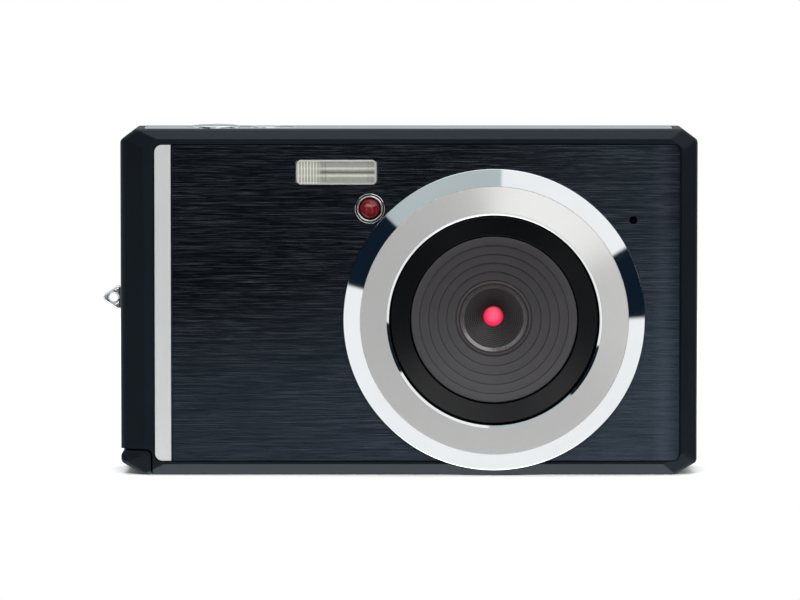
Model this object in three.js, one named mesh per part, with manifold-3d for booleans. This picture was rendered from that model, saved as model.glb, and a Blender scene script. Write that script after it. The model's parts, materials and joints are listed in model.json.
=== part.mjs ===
// Compact fixed-lens digital camera, built as an assembly of separate pieces.
// Units are millimetres. Seen from the front, +X is to the right; +Y runs from the front to the back; +Z is up.
// The origin lies on the flat base, in the middle of the casing's width and depth.
import * as THREE from "three";
import { mergeVertices } from "three/addons/utils/BufferGeometryUtils.js";
import Module from "manifold-3d";

const wasm = await Module();
wasm.setup();

// ---------------------------------------------------------------- driving dimensions

const SEAM = 0.3; // gap at every parting line
const FIT = 0.15; // clearance of an inlaid piece all round

const CASE = {
  halfWidth: 45.25,
  height: 54.3,
  front: -9.8,
  back: 9.8,
  wall: 2.35,
  frontWall: 1.6,
  backWall: 1.4,
  seamFront: -6, // where the front cover meets the middle frame
  seamBack: 6,
  topCut: [2.3, 1.7], // corner chamfers, width by height
  bottomCut: [3.4, 2.0],
  cornerRound: 0.9,
};
// Width of the sloped edge between the face and each side of the casing.
const FRONT_BEVEL = { left: 3.7, right: 2.1, top: 1.5, bottom: 1.8, depth: 2.2 };
const BACK_BEVEL = { left: 2.2, right: 2.2, top: 1.5, bottom: 1.8, depth: 2.2 };
const LIP = { inset: 1.75, thickness: 0.6, length: 0.95 }; // locating lip inside the middle frame

const FRAME_WALL = 1.6;

const PLATE = { left: -40, right: 42.6, bottom: 2.15, top: 52.05, corner: 1.3, recess: 0.6, thickness: 0.42 };
const STRIP_WIDTH = 2.55;

const LENS = { x: 13.33, z: 24.55 };
const RING = { outer: 23.65, shoulder: 21, inner: 16.85, bore: 16.45, collar: 17.5, front: -12.7, back: -8 };
const RING_FALL = 0.25; // how far the ring's face falls back from its inner edge to its shoulder
const HOOD = { outer: 13.1, rim: 5.95, bore: 5.3, front: -10.35, drop: 3.0, back: -6.4, steps: 5 };
const BARREL = { radius: 6.5, front: -6.1, back: 0.5, mouth: 5.0, throat: 1.55, throatY: -1.9, seat: 3.0 };
const HOLDER = { radius: 8.5, bore: 6.7, front: -5, shelf: 0.7, flange: 8, flangeBack: 2.75 };
const SENSOR = { half: 4, front: 1.7, back: 2.6, board: 11, boardFront: 2.85, boardBack: 3.65 };

const FLASH = { x: -11.36, z: 47.6, width: 12.9, height: 4.2, corner: 0.8 };
const LAMP = { x: -6.12, z: 41.93, rim: 2.35, dome: 1.55 };
const MICROPHONE = { x: 35.1, z: 40.1, hole: 0.65, radius: 2 };

const TRIM_HALF_DEPTH = 5.4;
const TOP_TRIM = { left: -41.7, right: 41.5, seat: 53.6, top: 54.65 };
const LEFT_TRIM = { bottom: 5.9, top: 50.5 };
const RIGHT_TRIM = { bottom: 4.3, top: 50.6 };
const SIDE_TRIM = { seat: 44.75, outer: 45.5 };
const ISLAND = { left: -34.9, right: -17.3, halfDepth: 4.4, depth: 0.35 }; // sunk bed of the two top buttons
const SHUTTER = { x: -30.5, radius: 3.85, top: 55.15, stem: 50.8, spring: 1.9 };
const POWER = { x: -22.7, radius: 2.55, top: 54.95, stem: 50.8, spring: 1.75 };
const TOP_BOARD = { left: -36, right: -18.6, bottom: 48.2, top: 49, halfDepth: 3.6 };

const STRAP = { z: 27.4, reach: 2.9, halfHeight: 2.2, halfDepth: 1.1, hole: 0.85 };

const SCREEN = { left: -11.5, right: 41.3, bottom: 6.2, top: 48.6, corner: 1.2, depth: 1.1 };
const PANEL = { left: -10.3, right: 40.1, bottom: 7.2, top: 47.6, front: 6.15, back: 8.2 };
const ROCKER = { x: -28.5, z: 45.7, halfWidth: 8.4, halfHeight: 2.5 };
const PAD = { x: -28.5, z: 24.5, outer: 9.6, inner: 4.3, ok: 3.85 };
const KEY_RADIUS = 2.9;
const KEYS = {
  menu_button: [-36.8, 37.4],
  mode_button: [-20.2, 37.4],
  playback_button: [-36.8, 11.4],
  delete_button: [-20.2, 11.4],
};
const KEY_PROUD = 0.55; // how far a key stands out of the back
const KEY_PLAY = 0.3;
const STATUS = { x: -15.4, z: 45.7, radius: 0.9 };
const SPEAKER = { x: -28.5, z: 4.9, holes: 5, pitch: 1.8, hole: 0.5 };

const DOOR = { right: -9.1, cornerRight: -40.55, top: 3.85, thickness: 1.4, halfDepth: 5.5 };
const HINGE = { x: -44.25, z: 2.95, knuckle: 0.95, pin: 0.4, ear: 0.72, earFrom: 2.4, earTo: 3.6 };
const BATTERY = { left: -41.8, right: -11.8, front: -5.15, back: -0.65, bottom: 4.3, top: 41 };
const BAY = { left: -42.3, right: -11, front: -5.95, back: 0.15, bottom: 4.4, top: 43.2, wall: 0.6 };
const CARD = { left: -37, right: -13, front: 0.9, back: 3, bottom: 4.6, top: 36.6, corner: 4 };
const SOCKET = { left: -38.3, right: -11.7, front: 0.45, back: 3.45, bottom: 10, top: 39, wall: 0.3 };

const BUSH = { x: 13.33, radius: 4.8, bore: 3.175, top: 7, depth: 6, recess: 0.2 };
const BASE_SCREWS = [-3, 37];
const SIDE_SCREWS = [8.2, 46.4];
const SCREW = { head: 1.5, headDepth: 0.9, shank: 0.75, length: 6.2, sunk: 0.2 };
const USB = { z: 19, halfHeight: 3.8, halfDepth: 1.9, wall: 0.35, depth: 6 };

// ---------------------------------------------------------------- materials

const finish = (color, roughness, metalness = 0) => new THREE.MeshStandardMaterial({ color, roughness, metalness });
const MATERIAL = {
  shell: finish(0x151b22, 0.45),
  brushedDark: finish(0x1b2530, 0.35, 0.8),
  silver: finish(0xd2d4d3, 0.4, 0.6),
  chrome: finish(0xe6e8ea, 0.08, 1),
  glossBlack: finish(0x0a0b0d, 0.15),
  lensBlack: finish(0x2c2c2e, 0.55),
  glass: finish(0xdfe8ee, 0.03),
  filter: finish(0xe0466a, 0.2),
  lampRed: finish(0x8a1418, 0.15),
  flashClear: finish(0xdfe2da, 0.1),
  reflector: finish(0xd8dade, 0.12, 1),
  steel: finish(0xa8abae, 0.3, 1),
  brass: finish(0xb89a5a, 0.35, 1),
  board: finish(0x1c5a3a, 0.6),
  chip: finish(0x1a1a1c, 0.5),
  battery: finish(0x5a6672, 0.5),
  card: finish(0x1d3f7a, 0.5),
  rubber: finish(0x202226, 0.9),
  screen: finish(0x050608, 0.05),
  panel: finish(0x2a3038, 0.2),
};

// ---------------------------------------------------------------- solids and geometry

/** A manifold-3d solid from a closed three.js geometry, turned face out if its faces point in. */
function solid(geometry) {
  const bare = new THREE.BufferGeometry().setAttribute("position", geometry.getAttribute("position"));
  if (geometry.index) bare.setIndex(geometry.index);
  const merged = mergeVertices(bare, 1e-4);
  const source = merged.index.array;
  const triangles = [];
  for (let i = 0; i < source.length; i += 3) {
    const [a, b, c] = [source[i], source[i + 1], source[i + 2]];
    if (a !== b && b !== c && c !== a) triangles.push(a, b, c);
  }
  const build = (indices) =>
    new wasm.Manifold(
      new wasm.Mesh({
        numProp: 3,
        vertProperties: merged.attributes.position.array,
        triVerts: new Uint32Array(indices),
      }),
    );
  const made = build(triangles);
  if (made.volume() > 0) return made;
  return build(triangles.reverse());
}

/** The three.js geometry of a manifold-3d solid. */
function geometryOf(manifold) {
  const mesh = manifold.getMesh();
  const geometry = new THREE.BufferGeometry();
  geometry.setAttribute("position", new THREE.BufferAttribute(new Float32Array(mesh.vertProperties), 3));
  geometry.setIndex(new THREE.BufferAttribute(new Uint32Array(mesh.triVerts), 1));
  geometry.computeVertexNormals();
  return geometry;
}

const camera = new THREE.Group();

/** Adds one named piece to a group. */
function piece(name, manifold, material, group = camera) {
  const mesh = new THREE.Mesh(geometryOf(manifold), material);
  mesh.name = name;
  group.add(mesh);
  return mesh;
}

/** A group at a place, for pieces that are built round their own centre. */
function groupAt(x, y, z) {
  const group = new THREE.Group();
  group.position.set(x, y, z);
  camera.add(group);
  return group;
}

function box(x0, x1, y0, y1, z0, z1) {
  const geometry = new THREE.BoxGeometry(x1 - x0, y1 - y0, z1 - z0);
  return solid(geometry.translate((x0 + x1) / 2, (y0 + y1) / 2, (z0 + z1) / 2));
}

/** A cylinder along Y from y0 to y1. */
function rodY(radius, x, y0, y1, z, sides = 20) {
  const geometry = new THREE.CylinderGeometry(radius, radius, y1 - y0, sides);
  return solid(geometry.translate(x, (y0 + y1) / 2, z));
}

/** A cylinder along Z from z0 to z1. */
function rodZ(radius, x, y, z0, z1, sides = 20) {
  const geometry = new THREE.CylinderGeometry(radius, radius, z1 - z0, sides);
  return solid(geometry.rotateX(Math.PI / 2).translate(x, y, (z0 + z1) / 2));
}

/** A cylinder along X from x0 to x1. */
function rodX(radius, x0, x1, y, z, sides = 20) {
  const geometry = new THREE.CylinderGeometry(radius, radius, x1 - x0, sides);
  return solid(geometry.rotateZ(Math.PI / 2).translate((x0 + x1) / 2, y, z));
}

/** A solid of revolution about Y. The profile holds [radius, y] pairs and is closed here. */
function turned(profile, sides = 24) {
  const points = [...profile, profile[0]].map(([r, y]) => new THREE.Vector2(r, y));
  return solid(new THREE.LatheGeometry(points, sides));
}

/** A closed outline with each corner rounded. Corners are [x, y] pairs in order, anticlockwise. */
function roundedOutline(corners, radius) {
  const shape = new THREE.Shape();
  corners.forEach(([x, y], i) => {
    const corner = new THREE.Vector2(x, y);
    const before = new THREE.Vector2(...corners.at(i - 1)).sub(corner);
    const after = new THREE.Vector2(...corners[(i + 1) % corners.length]).sub(corner);
    const reach = Math.min(radius, before.length() * 0.45, after.length() * 0.45);
    const start = corner.clone().addScaledVector(before.normalize(), reach);
    const end = corner.clone().addScaledVector(after.normalize(), reach);
    if (i === 0) shape.moveTo(start.x, start.y);
    else shape.lineTo(start.x, start.y);
    shape.quadraticCurveTo(x, y, end.x, end.y);
  });
  shape.closePath();
  return shape;
}

const rectangle = (x0, x1, y0, y1, radius) =>
  roundedOutline([[x0, y0], [x1, y0], [x1, y1], [x0, y1]], radius);

/** An outline drawn in X and Z, extruded along Y. */
function alongY(shape, y0, y1, curveSegments = 2) {
  const geometry = new THREE.ExtrudeGeometry(shape, { depth: y1 - y0, bevelEnabled: false, curveSegments });
  return solid(geometry.rotateX(Math.PI / 2).translate(0, y1, 0));
}

/** An outline drawn in X and Y, extruded along Z. */
function alongZ(shape, z0, z1, curveSegments = 2) {
  const geometry = new THREE.ExtrudeGeometry(shape, { depth: z1 - z0, bevelEnabled: false, curveSegments });
  return solid(geometry.translate(0, 0, z0));
}

/** An outline drawn in Y and Z, extruded along X. */
function alongX(shape, x0, x1, curveSegments = 2) {
  const geometry = new THREE.ExtrudeGeometry(shape, { depth: x1 - x0, bevelEnabled: false, curveSegments });
  return solid(geometry.rotateX(Math.PI / 2).rotateZ(Math.PI / 2).translate(x0, 0, 0));
}

/** A helix about Z, the centre line of a coil spring. */
class Helix extends THREE.Curve {
  constructor(radius, bottom, top, turns) {
    super();
    Object.assign(this, { radius, bottom, top, turns });
  }
  getPoint(t, target = new THREE.Vector3()) {
    const angle = t * this.turns * Math.PI * 2;
    const height = this.bottom + (this.top - this.bottom) * t;
    return target.set(this.radius * Math.cos(angle), this.radius * Math.sin(angle), height);
  }
}

function coilSpring(radius, bottom, top, turns) {
  const wire = new THREE.Shape().absarc(0, 0, 0.17, 0, Math.PI * 2);
  const path = new Helix(radius, bottom, top, turns);
  const options = { extrudePath: path, steps: turns * 8, curveSegments: 3 };
  return solid(new THREE.ExtrudeGeometry(wire, options));
}

// ---------------------------------------------------------------- casing

/** The casing's outline seen from the front, moved inwards by inset. */
function caseOutline(inset = 0, round = CASE.cornerRound) {
  const x = CASE.halfWidth - inset;
  const [low, high] = [inset, CASE.height - inset];
  const [tx, tz] = CASE.topCut;
  const [bx, bz] = CASE.bottomCut;
  return roundedOutline(
    [
      [-x + bx, low],
      [x - bx, low],
      [x, low + bz],
      [x, high - tz],
      [x - tx, high],
      [-x + tx, high],
      [-x, high - tz],
      [-x, low + bz],
    ],
    round,
  );
}

/** The whole casing as one block, with its sloped front and back edges. */
function caseBlock() {
  // Each level is [depth from the front, share of the full outline, the bevel it belongs to].
  const depth = CASE.back - CASE.front;
  const levels = [
    [0, 0, FRONT_BEVEL],
    [FRONT_BEVEL.depth * 0.45, 0.62, FRONT_BEVEL],
    [FRONT_BEVEL.depth, 1, FRONT_BEVEL],
    [depth - BACK_BEVEL.depth, 1, BACK_BEVEL],
    [depth - BACK_BEVEL.depth * 0.45, 0.62, BACK_BEVEL],
    [depth, 0, BACK_BEVEL],
  ];
  const steps = levels.length - 1;
  const options = { depth: steps, steps, bevelEnabled: false, curveSegments: 3 };
  const geometry = new THREE.ExtrudeGeometry(caseOutline(), options);
  const position = geometry.getAttribute("position");
  const middle = CASE.height / 2;
  for (let i = 0; i < position.count; i++) {
    const [y, share, bevel] = levels[Math.round(position.getZ(i))];
    const [x, z] = [position.getX(i), position.getY(i) - middle];
    const sideways = (x < 0 ? bevel.left : bevel.right) / CASE.halfWidth;
    const upright = (z < 0 ? bevel.bottom : bevel.top) / middle;
    position.setXYZ(i, x * (1 - (1 - share) * sideways), middle + z * (1 - (1 - share) * upright), y);
  }
  // The levels run from the front backwards, so the depth is turned into +Y and the outline's height into +Z.
  const turn = new THREE.Matrix4().set(1, 0, 0, 0, 0, 0, 1, CASE.front, 0, 1, 0, 0, 0, 0, 0, 1);
  return solid(geometry.applyMatrix4(turn));
}

const BIG = 60;
const block = caseBlock();
const behind = (y) => box(-BIG, BIG, y, BIG, -BIG, BIG + 20);
const beforeY = (y) => box(-BIG, BIG, -BIG, y, -BIG, BIG + 20);
const doorCorner = box(-BIG, DOOR.cornerRight + SEAM, -BIG, BIG, -BIG, DOOR.top + SEAM);

/** The lip that locates a cover inside the middle frame, from y0 to y1. */
function lip(y0, y1) {
  const ring = alongY(caseOutline(LIP.inset), y0, y1).subtract(
    alongY(caseOutline(LIP.inset + LIP.thickness), y0 - 1, y1 + 1),
  );
  const doorway = box(-BIG, DOOR.right + SEAM, -BIG, BIG, -BIG, DOOR.top + SEAM);
  return ring.subtract(doorway);
}

function frontCover() {
  const rim = CASE.seamFront - SEAM / 2;
  const cavity = alongY(caseOutline(CASE.wall), CASE.front + CASE.frontWall, 0);
  const recess = rectangle(PLATE.left, PLATE.right, PLATE.bottom, PLATE.top, PLATE.corner);
  const { x: fx, z: fz, width, height, corner } = FLASH;
  const flashHole = rectangle(fx - width / 2, fx + width / 2, fz - height / 2, fz + height / 2, corner);
  const through = [CASE.front - 1, 0];
  return block
    .subtract(behind(rim))
    .subtract(cavity)
    .add(lip(rim - 0.1, rim + LIP.length))
    .subtract(alongY(recess, CASE.front - 1, CASE.front + PLATE.recess))
    .subtract(alongY(flashHole, ...through))
    .subtract(rodY(RING.collar + SEAM, LENS.x, ...through, LENS.z, 48))
    .subtract(rodY(LAMP.rim + FIT, LAMP.x, ...through, LAMP.z))
    .subtract(rodY(MICROPHONE.hole, MICROPHONE.x, ...through, MICROPHONE.z, 12))
    .subtract(doorCorner);
}

function backCover() {
  const rim = CASE.seamBack + SEAM / 2;
  const inside = CASE.back - CASE.backWall;
  const cavity = alongY(caseOutline(CASE.wall), 0, inside);
  const ledge = 1.4;
  const s = SCREEN;
  const seat = rectangle(s.left - FIT, s.right + FIT, s.bottom - FIT, s.top + FIT, s.corner);
  const opening = rectangle(s.left + ledge, s.right - ledge, s.bottom + ledge, s.top - ledge, s.corner);
  const { x, z, halfWidth, halfHeight } = ROCKER;
  const [w, h] = [halfWidth + KEY_PLAY, halfHeight + KEY_PLAY];
  const rockerHole = rectangle(x - w, x + w, z - h, z + h, h);
  const through = [0, CASE.back + 1];
  let cover = block
    .subtract(beforeY(rim))
    .subtract(cavity)
    .add(lip(rim - LIP.length, rim + 0.1))
    .subtract(alongY(seat, CASE.back - s.depth, CASE.back + 1))
    .subtract(alongY(opening, ...through))
    .subtract(alongY(rockerHole, ...through, 4))
    .subtract(rodY(PAD.outer + KEY_PLAY + 0.1, PAD.x, ...through, PAD.z, 32))
    .subtract(rodY(STATUS.radius + FIT, STATUS.x, ...through, STATUS.z, 12));
  for (const [kx, kz] of Object.values(KEYS)) {
    cover = cover.subtract(rodY(KEY_RADIUS + KEY_PLAY, kx, ...through, kz));
  }
  for (let i = 0; i < SPEAKER.holes; i++) {
    const hx = SPEAKER.x + (i - (SPEAKER.holes - 1) / 2) * SPEAKER.pitch;
    cover = cover.subtract(rodY(SPEAKER.hole, hx, ...through, SPEAKER.z, 8));
  }
  return cover.subtract(doorCorner);
}

function middleFrame() {
  const [y0, y1] = [CASE.seamFront + SEAM / 2, CASE.seamBack - SEAM / 2];
  const depth = TRIM_HALF_DEPTH + FIT;
  const topSeat = rectangle(TOP_TRIM.left - FIT, TOP_TRIM.right + FIT, -depth, depth, 1.4);
  const leftSeat = rectangle(-depth, depth, LEFT_TRIM.bottom - FIT, LEFT_TRIM.top + FIT, 1.4);
  const rightSeat = rectangle(-depth, depth, RIGHT_TRIM.bottom - FIT, RIGHT_TRIM.top + FIT, 1.4);
  const usbHole = rectangle(
    -USB.halfDepth - FIT, USB.halfDepth + FIT, USB.z - USB.halfHeight - FIT, USB.z + USB.halfHeight + FIT, 0.8,
  );
  let frame = block
    .subtract(beforeY(y0))
    .subtract(behind(y1))
    .subtract(alongY(caseOutline(FRAME_WALL), y0 - 1, y1 + 1));
  for (const x of BASE_SCREWS) frame = frame.add(rodZ(2.4, x, 0, 1, SCREW.length + 1.2, 16));
  for (const z of SIDE_SCREWS) {
    frame = frame.add(rodX(2.2, SIDE_TRIM.seat - SCREW.length, SIDE_TRIM.seat - 0.5, 0, z, 16));
  }
  frame = frame
    .subtract(alongZ(topSeat, TOP_TRIM.seat - FIT, BIG))
    .subtract(alongX(leftSeat, -BIG, -SIDE_TRIM.seat + FIT))
    .subtract(alongX(rightSeat, SIDE_TRIM.seat - FIT, BIG))
    .subtract(alongX(usbHole, 30, BIG))
    .subtract(box(-BIG, -40, -STRAP.halfDepth - FIT, STRAP.halfDepth + FIT, STRAP.z - 1.65, STRAP.z + 1.65))
    .subtract(rodZ(SHUTTER.radius + FIT, SHUTTER.x, 0, 50, BIG, 24))
    .subtract(rodZ(POWER.radius + FIT, POWER.x, 0, 50, BIG))
    .subtract(rodZ(BUSH.radius + FIT, BUSH.x, 0, -1, 4, 24))
    .subtract(doorCorner)
    .subtract(box(-BIG, DOOR.right + SEAM, -BIG, BIG, -BIG, DOOR.top + SEAM));
  for (const x of BASE_SCREWS) {
    frame = frame
      .subtract(rodZ(SCREW.head + FIT, x, 0, -1, SCREW.headDepth + SCREW.sunk + FIT, 16))
      .subtract(rodZ(SCREW.shank + 0.1, x, 0, -1, SCREW.length + 0.5, 12));
  }
  for (const z of SIDE_SCREWS) frame = frame.subtract(rodX(SCREW.shank + 0.1, 39, BIG, 0, z, 12));
  // Two ears under the left wall hold the door's hinge pin.
  for (const side of [-1, 1]) {
    const [e0, e1] = [HINGE.earFrom * side, HINGE.earTo * side].sort((a, b) => a - b);
    const ear = rodY(HINGE.ear, HINGE.x, e0, e1, HINGE.z, 16).add(
      box(HINGE.x - HINGE.ear, HINGE.x + HINGE.ear, e0, e1, HINGE.z, DOOR.top + SEAM + 0.5),
    );
    frame = frame.add(ear.subtract(rodY(HINGE.pin + 0.05, HINGE.x, e0 - 1, e1 + 1, HINGE.z, 12)));
  }
  return frame;
}

piece("front_cover", frontCover(), MATERIAL.shell);
piece("middle_frame", middleFrame(), MATERIAL.shell);
piece("back_cover", backCover(), MATERIAL.shell);

// ---------------------------------------------------------------- front plate, flash, lamp and microphone

const plateBack = CASE.front + PLATE.recess - 0.1;
const plateFront = plateBack - PLATE.thickness;

function facePlate() {
  const p = PLATE;
  const outline = roundedOutline(
    [
      [p.left + FIT, p.bottom + FIT],
      [p.right - FIT, p.bottom + FIT],
      [p.right - FIT, p.top - FIT],
      [p.left + FIT, p.top - FIT],
    ],
    p.corner,
  );
  const { x: fx, z: fz, width, height, corner } = FLASH;
  const flashHole = rectangle(fx - width / 2, fx + width / 2, fz - height / 2, fz + height / 2, corner);
  const through = [plateFront - 1, plateBack + 1];
  return alongY(outline, plateFront, plateBack)
    .subtract(alongY(flashHole, ...through))
    .subtract(rodY(RING.collar + SEAM, LENS.x, ...through, LENS.z, 48))
    .subtract(rodY(LAMP.rim + FIT, LAMP.x, ...through, LAMP.z))
    .subtract(rodY(MICROPHONE.hole, MICROPHONE.x, ...through, MICROPHONE.z, 12));
}

const fullPlate = facePlate();
const stripEdge = PLATE.left + FIT + STRIP_WIDTH;
const depthRange = [-BIG, BIG, -BIG, BIG + 20];
piece("accent_strip", fullPlate.intersect(box(-BIG, stripEdge, ...depthRange)), MATERIAL.silver);
piece("face_plate", fullPlate.intersect(box(stripEdge + 0.2, BIG, ...depthRange)), MATERIAL.brushedDark);

const flashGroup = groupAt(FLASH.x, 0, FLASH.z);
{
  const [w, h] = [FLASH.width / 2 - FIT, FLASH.height / 2 - FIT];
  const inside = CASE.front + CASE.frontWall;
  const pane = alongY(rectangle(-w, w, -h, h, FLASH.corner), plateFront, inside + 0.2);
  const flange = box(-w - 0.8, w + 0.8, inside + 0.1, inside + 0.6, -h - 0.7, h + 0.7);
  piece("flash_window", pane.add(flange), MATERIAL.flashClear, flashGroup);

  const trough = box(-6.6, 6.6, -7.4, -2.9, -2.6, 2.6)
    .subtract(rodX(2.1, -6, 6, -5.3, 0, 20))
    .subtract(box(-6, 6, -8, -5.3, -2.1, 2.1))
    .subtract(rodX(1.15, -8, 8, -4.8, 0, 16));
  piece("flash_reflector", trough, MATERIAL.reflector, flashGroup);
  piece("flash_tube", rodX(0.95, -7.6, 7.6, -4.8, 0, 16), MATERIAL.glass, flashGroup);
}
piece("flash_capacitor", rodX(3.8, 3, 30, -2.2, 47.4), MATERIAL.chip);

const lampGroup = groupAt(LAMP.x, 0, LAMP.z);
{
  const { rim, dome } = LAMP;
  const front = plateFront;
  const bezel = [
    [dome + 0.1, front + 0.1],
    [dome + 0.35, front - 0.3],
    [rim - 0.25, front - 0.3],
    [rim, front + 0.1],
    [rim, -8.3],
    [dome + 0.1, -8.3],
  ];
  piece("timer_lamp_bezel", turned(bezel), MATERIAL.chrome, lampGroup);
  const lens = [
    [0, front - 0.25],
    [dome * 0.55, front - 0.15],
    [dome * 0.85, front + 0.1],
    [dome, front + 0.5],
    [dome, -7.9],
    [0, -7.9],
  ];
  piece("timer_lamp_lens", turned(lens, 20), MATERIAL.lampRed, lampGroup);
  piece("timer_lamp_diode", box(-1.3, 1.3, -7.6, -6.2, -1.3, 1.3), MATERIAL.flashClear, lampGroup);
}
piece("microphone", rodY(MICROPHONE.radius, MICROPHONE.x, -7.9, -6.4, MICROPHONE.z), MATERIAL.steel);

// ---------------------------------------------------------------- lens

const lensGroup = groupAt(LENS.x, 0, LENS.z);

piece(
  "lens_trim_ring",
  turned(
    [
      [RING.bore, RING.front + 0.4],
      [RING.inner, RING.front],
      [RING.shoulder, RING.front + RING_FALL],
      [RING.outer, RING.front + 2],
      [RING.outer, CASE.front - 0.1],
      [RING.collar, CASE.front - 0.1],
      [RING.collar, RING.back],
      [RING.bore, RING.back],
    ],
    48,
  ),
  MATERIAL.chrome,
  lensGroup,
);

piece(
  "lens_bezel_ring",
  turned(
    [
      [RING.bore - SEAM, -11.3],
      [RING.bore - SEAM, -8.4],
      [HOOD.outer + SEAM, -8.4],
      [HOOD.outer + SEAM, -10.6],
    ],
    36,
  ),
  MATERIAL.glossBlack,
  lensGroup,
);

function lensHood() {
  const tread = (HOOD.outer - HOOD.rim) / HOOD.steps;
  const riser = HOOD.drop / HOOD.steps;
  const profile = [[HOOD.outer, HOOD.back], [HOOD.outer, HOOD.front]];
  for (let i = 0; i < HOOD.steps; i++) {
    const r = HOOD.outer - tread * (i + 1);
    profile.push([r, HOOD.front + riser * (i + 0.45)], [r, HOOD.front + riser * (i + 1)]);
  }
  const floor = HOOD.front + HOOD.drop;
  profile.push([HOOD.rim - 0.1, floor - 0.3], [HOOD.rim - 0.4, floor - 0.3], [HOOD.bore, floor], [HOOD.bore, HOOD.back]);
  return turned(profile, 30);
}
piece("lens_hood", lensHood(), MATERIAL.lensBlack, lensGroup);

function lensBarrel() {
  const b = BARREL;
  const profile = [[b.radius, b.front], [b.mouth, b.front]];
  const grooves = 4;
  for (let i = 1; i <= grooves; i++) {
    const r = b.mouth + ((b.throat - b.mouth) * i) / grooves;
    const y = b.front + ((b.throatY - b.front) * i) / grooves;
    profile.push([r, y - 0.5], [r, y]);
  }
  profile.push([b.seat, b.throatY + 0.2], [b.seat, b.back], [b.radius, b.back]);
  return turned(profile);
}
piece("lens_barrel", lensBarrel(), MATERIAL.lensBlack, lensGroup);

const elementRadius = BARREL.seat - 0.1;
const frontElement = [[0, -1.6], [1.5, -1.5], [2.4, -1.3], [elementRadius, -1.1], [elementRadius, -0.6], [0, -0.6]];
const rearElement = [[0, -0.3], [elementRadius, -0.3], [elementRadius, 0.1], [1.8, 0.35], [0, 0.45]];
piece("front_lens_element", turned(frontElement, 20), MATERIAL.glass, lensGroup);
piece("rear_lens_element", turned(rearElement, 20), MATERIAL.glass, lensGroup);

function lensHolder() {
  const h = HOLDER;
  const tube = turned([[h.bore, h.front], [h.radius, h.front], [h.radius, 1], [3.2, 1], [3.2, h.shelf], [h.bore, h.shelf]]);
  const flange = box(-h.flange, h.flange, 0.9, h.flangeBack, -h.flange, h.flange);
  const well = box(-5.5, 5.5, 0.95, h.flangeBack + 1, -5.5, 5.5);
  return tube.add(flange.subtract(well).subtract(rodY(5, 0, 0, 2, 0)));
}
piece("lens_holder", lensHolder(), MATERIAL.lensBlack, lensGroup);
piece("infrared_filter", box(-3.6, 3.6, 1.12, 1.45, -3.6, 3.6), MATERIAL.filter, lensGroup);
const chip = box(-SENSOR.half, SENSOR.half, SENSOR.front, SENSOR.back, -SENSOR.half, SENSOR.half);
piece("image_sensor", chip, MATERIAL.chip, lensGroup);
const boardHalf = SENSOR.board;
const sensorBoard = box(-boardHalf, boardHalf, SENSOR.boardFront, SENSOR.boardBack, -boardHalf, boardHalf);
piece("sensor_board", sensorBoard, MATERIAL.board, lensGroup);

// ---------------------------------------------------------------- trims, strap eyelet, tripod bush and screws

function topTrim() {
  const t = TOP_TRIM;
  const crown = new THREE.Shape();
  crown.moveTo(-TRIM_HALF_DEPTH, t.seat);
  crown.lineTo(TRIM_HALF_DEPTH, t.seat);
  crown.lineTo(TRIM_HALF_DEPTH, t.top - 0.4);
  crown.quadraticCurveTo(0, t.top + 0.4, -TRIM_HALF_DEPTH, t.top - 0.4);
  crown.closePath();
  const outline = rectangle(t.left, t.right, -TRIM_HALF_DEPTH, TRIM_HALF_DEPTH, 1.3);
  const i = ISLAND;
  const island = rectangle(i.left, i.right, -i.halfDepth, i.halfDepth, 3);
  return alongX(crown, t.left, t.right, 8)
    .intersect(alongZ(outline, t.seat, BIG))
    .subtract(alongZ(island, t.top - i.depth, BIG, 6))
    .subtract(rodZ(SHUTTER.radius + FIT, SHUTTER.x, 0, 50, BIG, 24))
    .subtract(rodZ(POWER.radius + FIT, POWER.x, 0, 50, BIG));
}
piece("top_trim", topTrim(), MATERIAL.chrome);

/** A side trim plate with a shallow crown. side is -1 on the left and 1 on the right. */
function sideTrim(side, bottom, top) {
  const { seat, outer } = SIDE_TRIM;
  const crown = new THREE.Shape();
  crown.moveTo(seat, -TRIM_HALF_DEPTH);
  crown.lineTo(outer - 0.3, -TRIM_HALF_DEPTH);
  crown.quadraticCurveTo(outer + 0.3, 0, outer - 0.3, TRIM_HALF_DEPTH);
  crown.lineTo(seat, TRIM_HALF_DEPTH);
  crown.closePath();
  const outline = rectangle(-TRIM_HALF_DEPTH, TRIM_HALF_DEPTH, bottom, top, 1.3);
  const plate = alongZ(crown, bottom, top, 6).intersect(alongX(outline, seat, BIG));
  return side > 0 ? plate : plate.mirror([1, 0, 0]);
}

const eyeletSlot = box(-BIG, -40, -STRAP.halfDepth - FIT, STRAP.halfDepth + FIT, STRAP.z - 1.65, STRAP.z + 1.65);
piece("left_trim", sideTrim(-1, LEFT_TRIM.bottom, LEFT_TRIM.top).subtract(eyeletSlot), MATERIAL.chrome);

function rightTrim() {
  const usbHole = rectangle(
    -USB.halfDepth - FIT, USB.halfDepth + FIT, USB.z - USB.halfHeight - FIT, USB.z + USB.halfHeight + FIT, 0.8,
  );
  let trim = sideTrim(1, RIGHT_TRIM.bottom, RIGHT_TRIM.top).subtract(alongX(usbHole, 30, BIG));
  for (const z of SIDE_SCREWS) {
    trim = trim.subtract(rodX(SCREW.head + FIT, SIDE_TRIM.seat + 0.2, BIG, 0, z, 16));
    trim = trim.subtract(rodX(SCREW.shank + FIT, 40, BIG, 0, z, 12));
  }
  return trim;
}
piece("right_trim", rightTrim(), MATERIAL.chrome);

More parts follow.
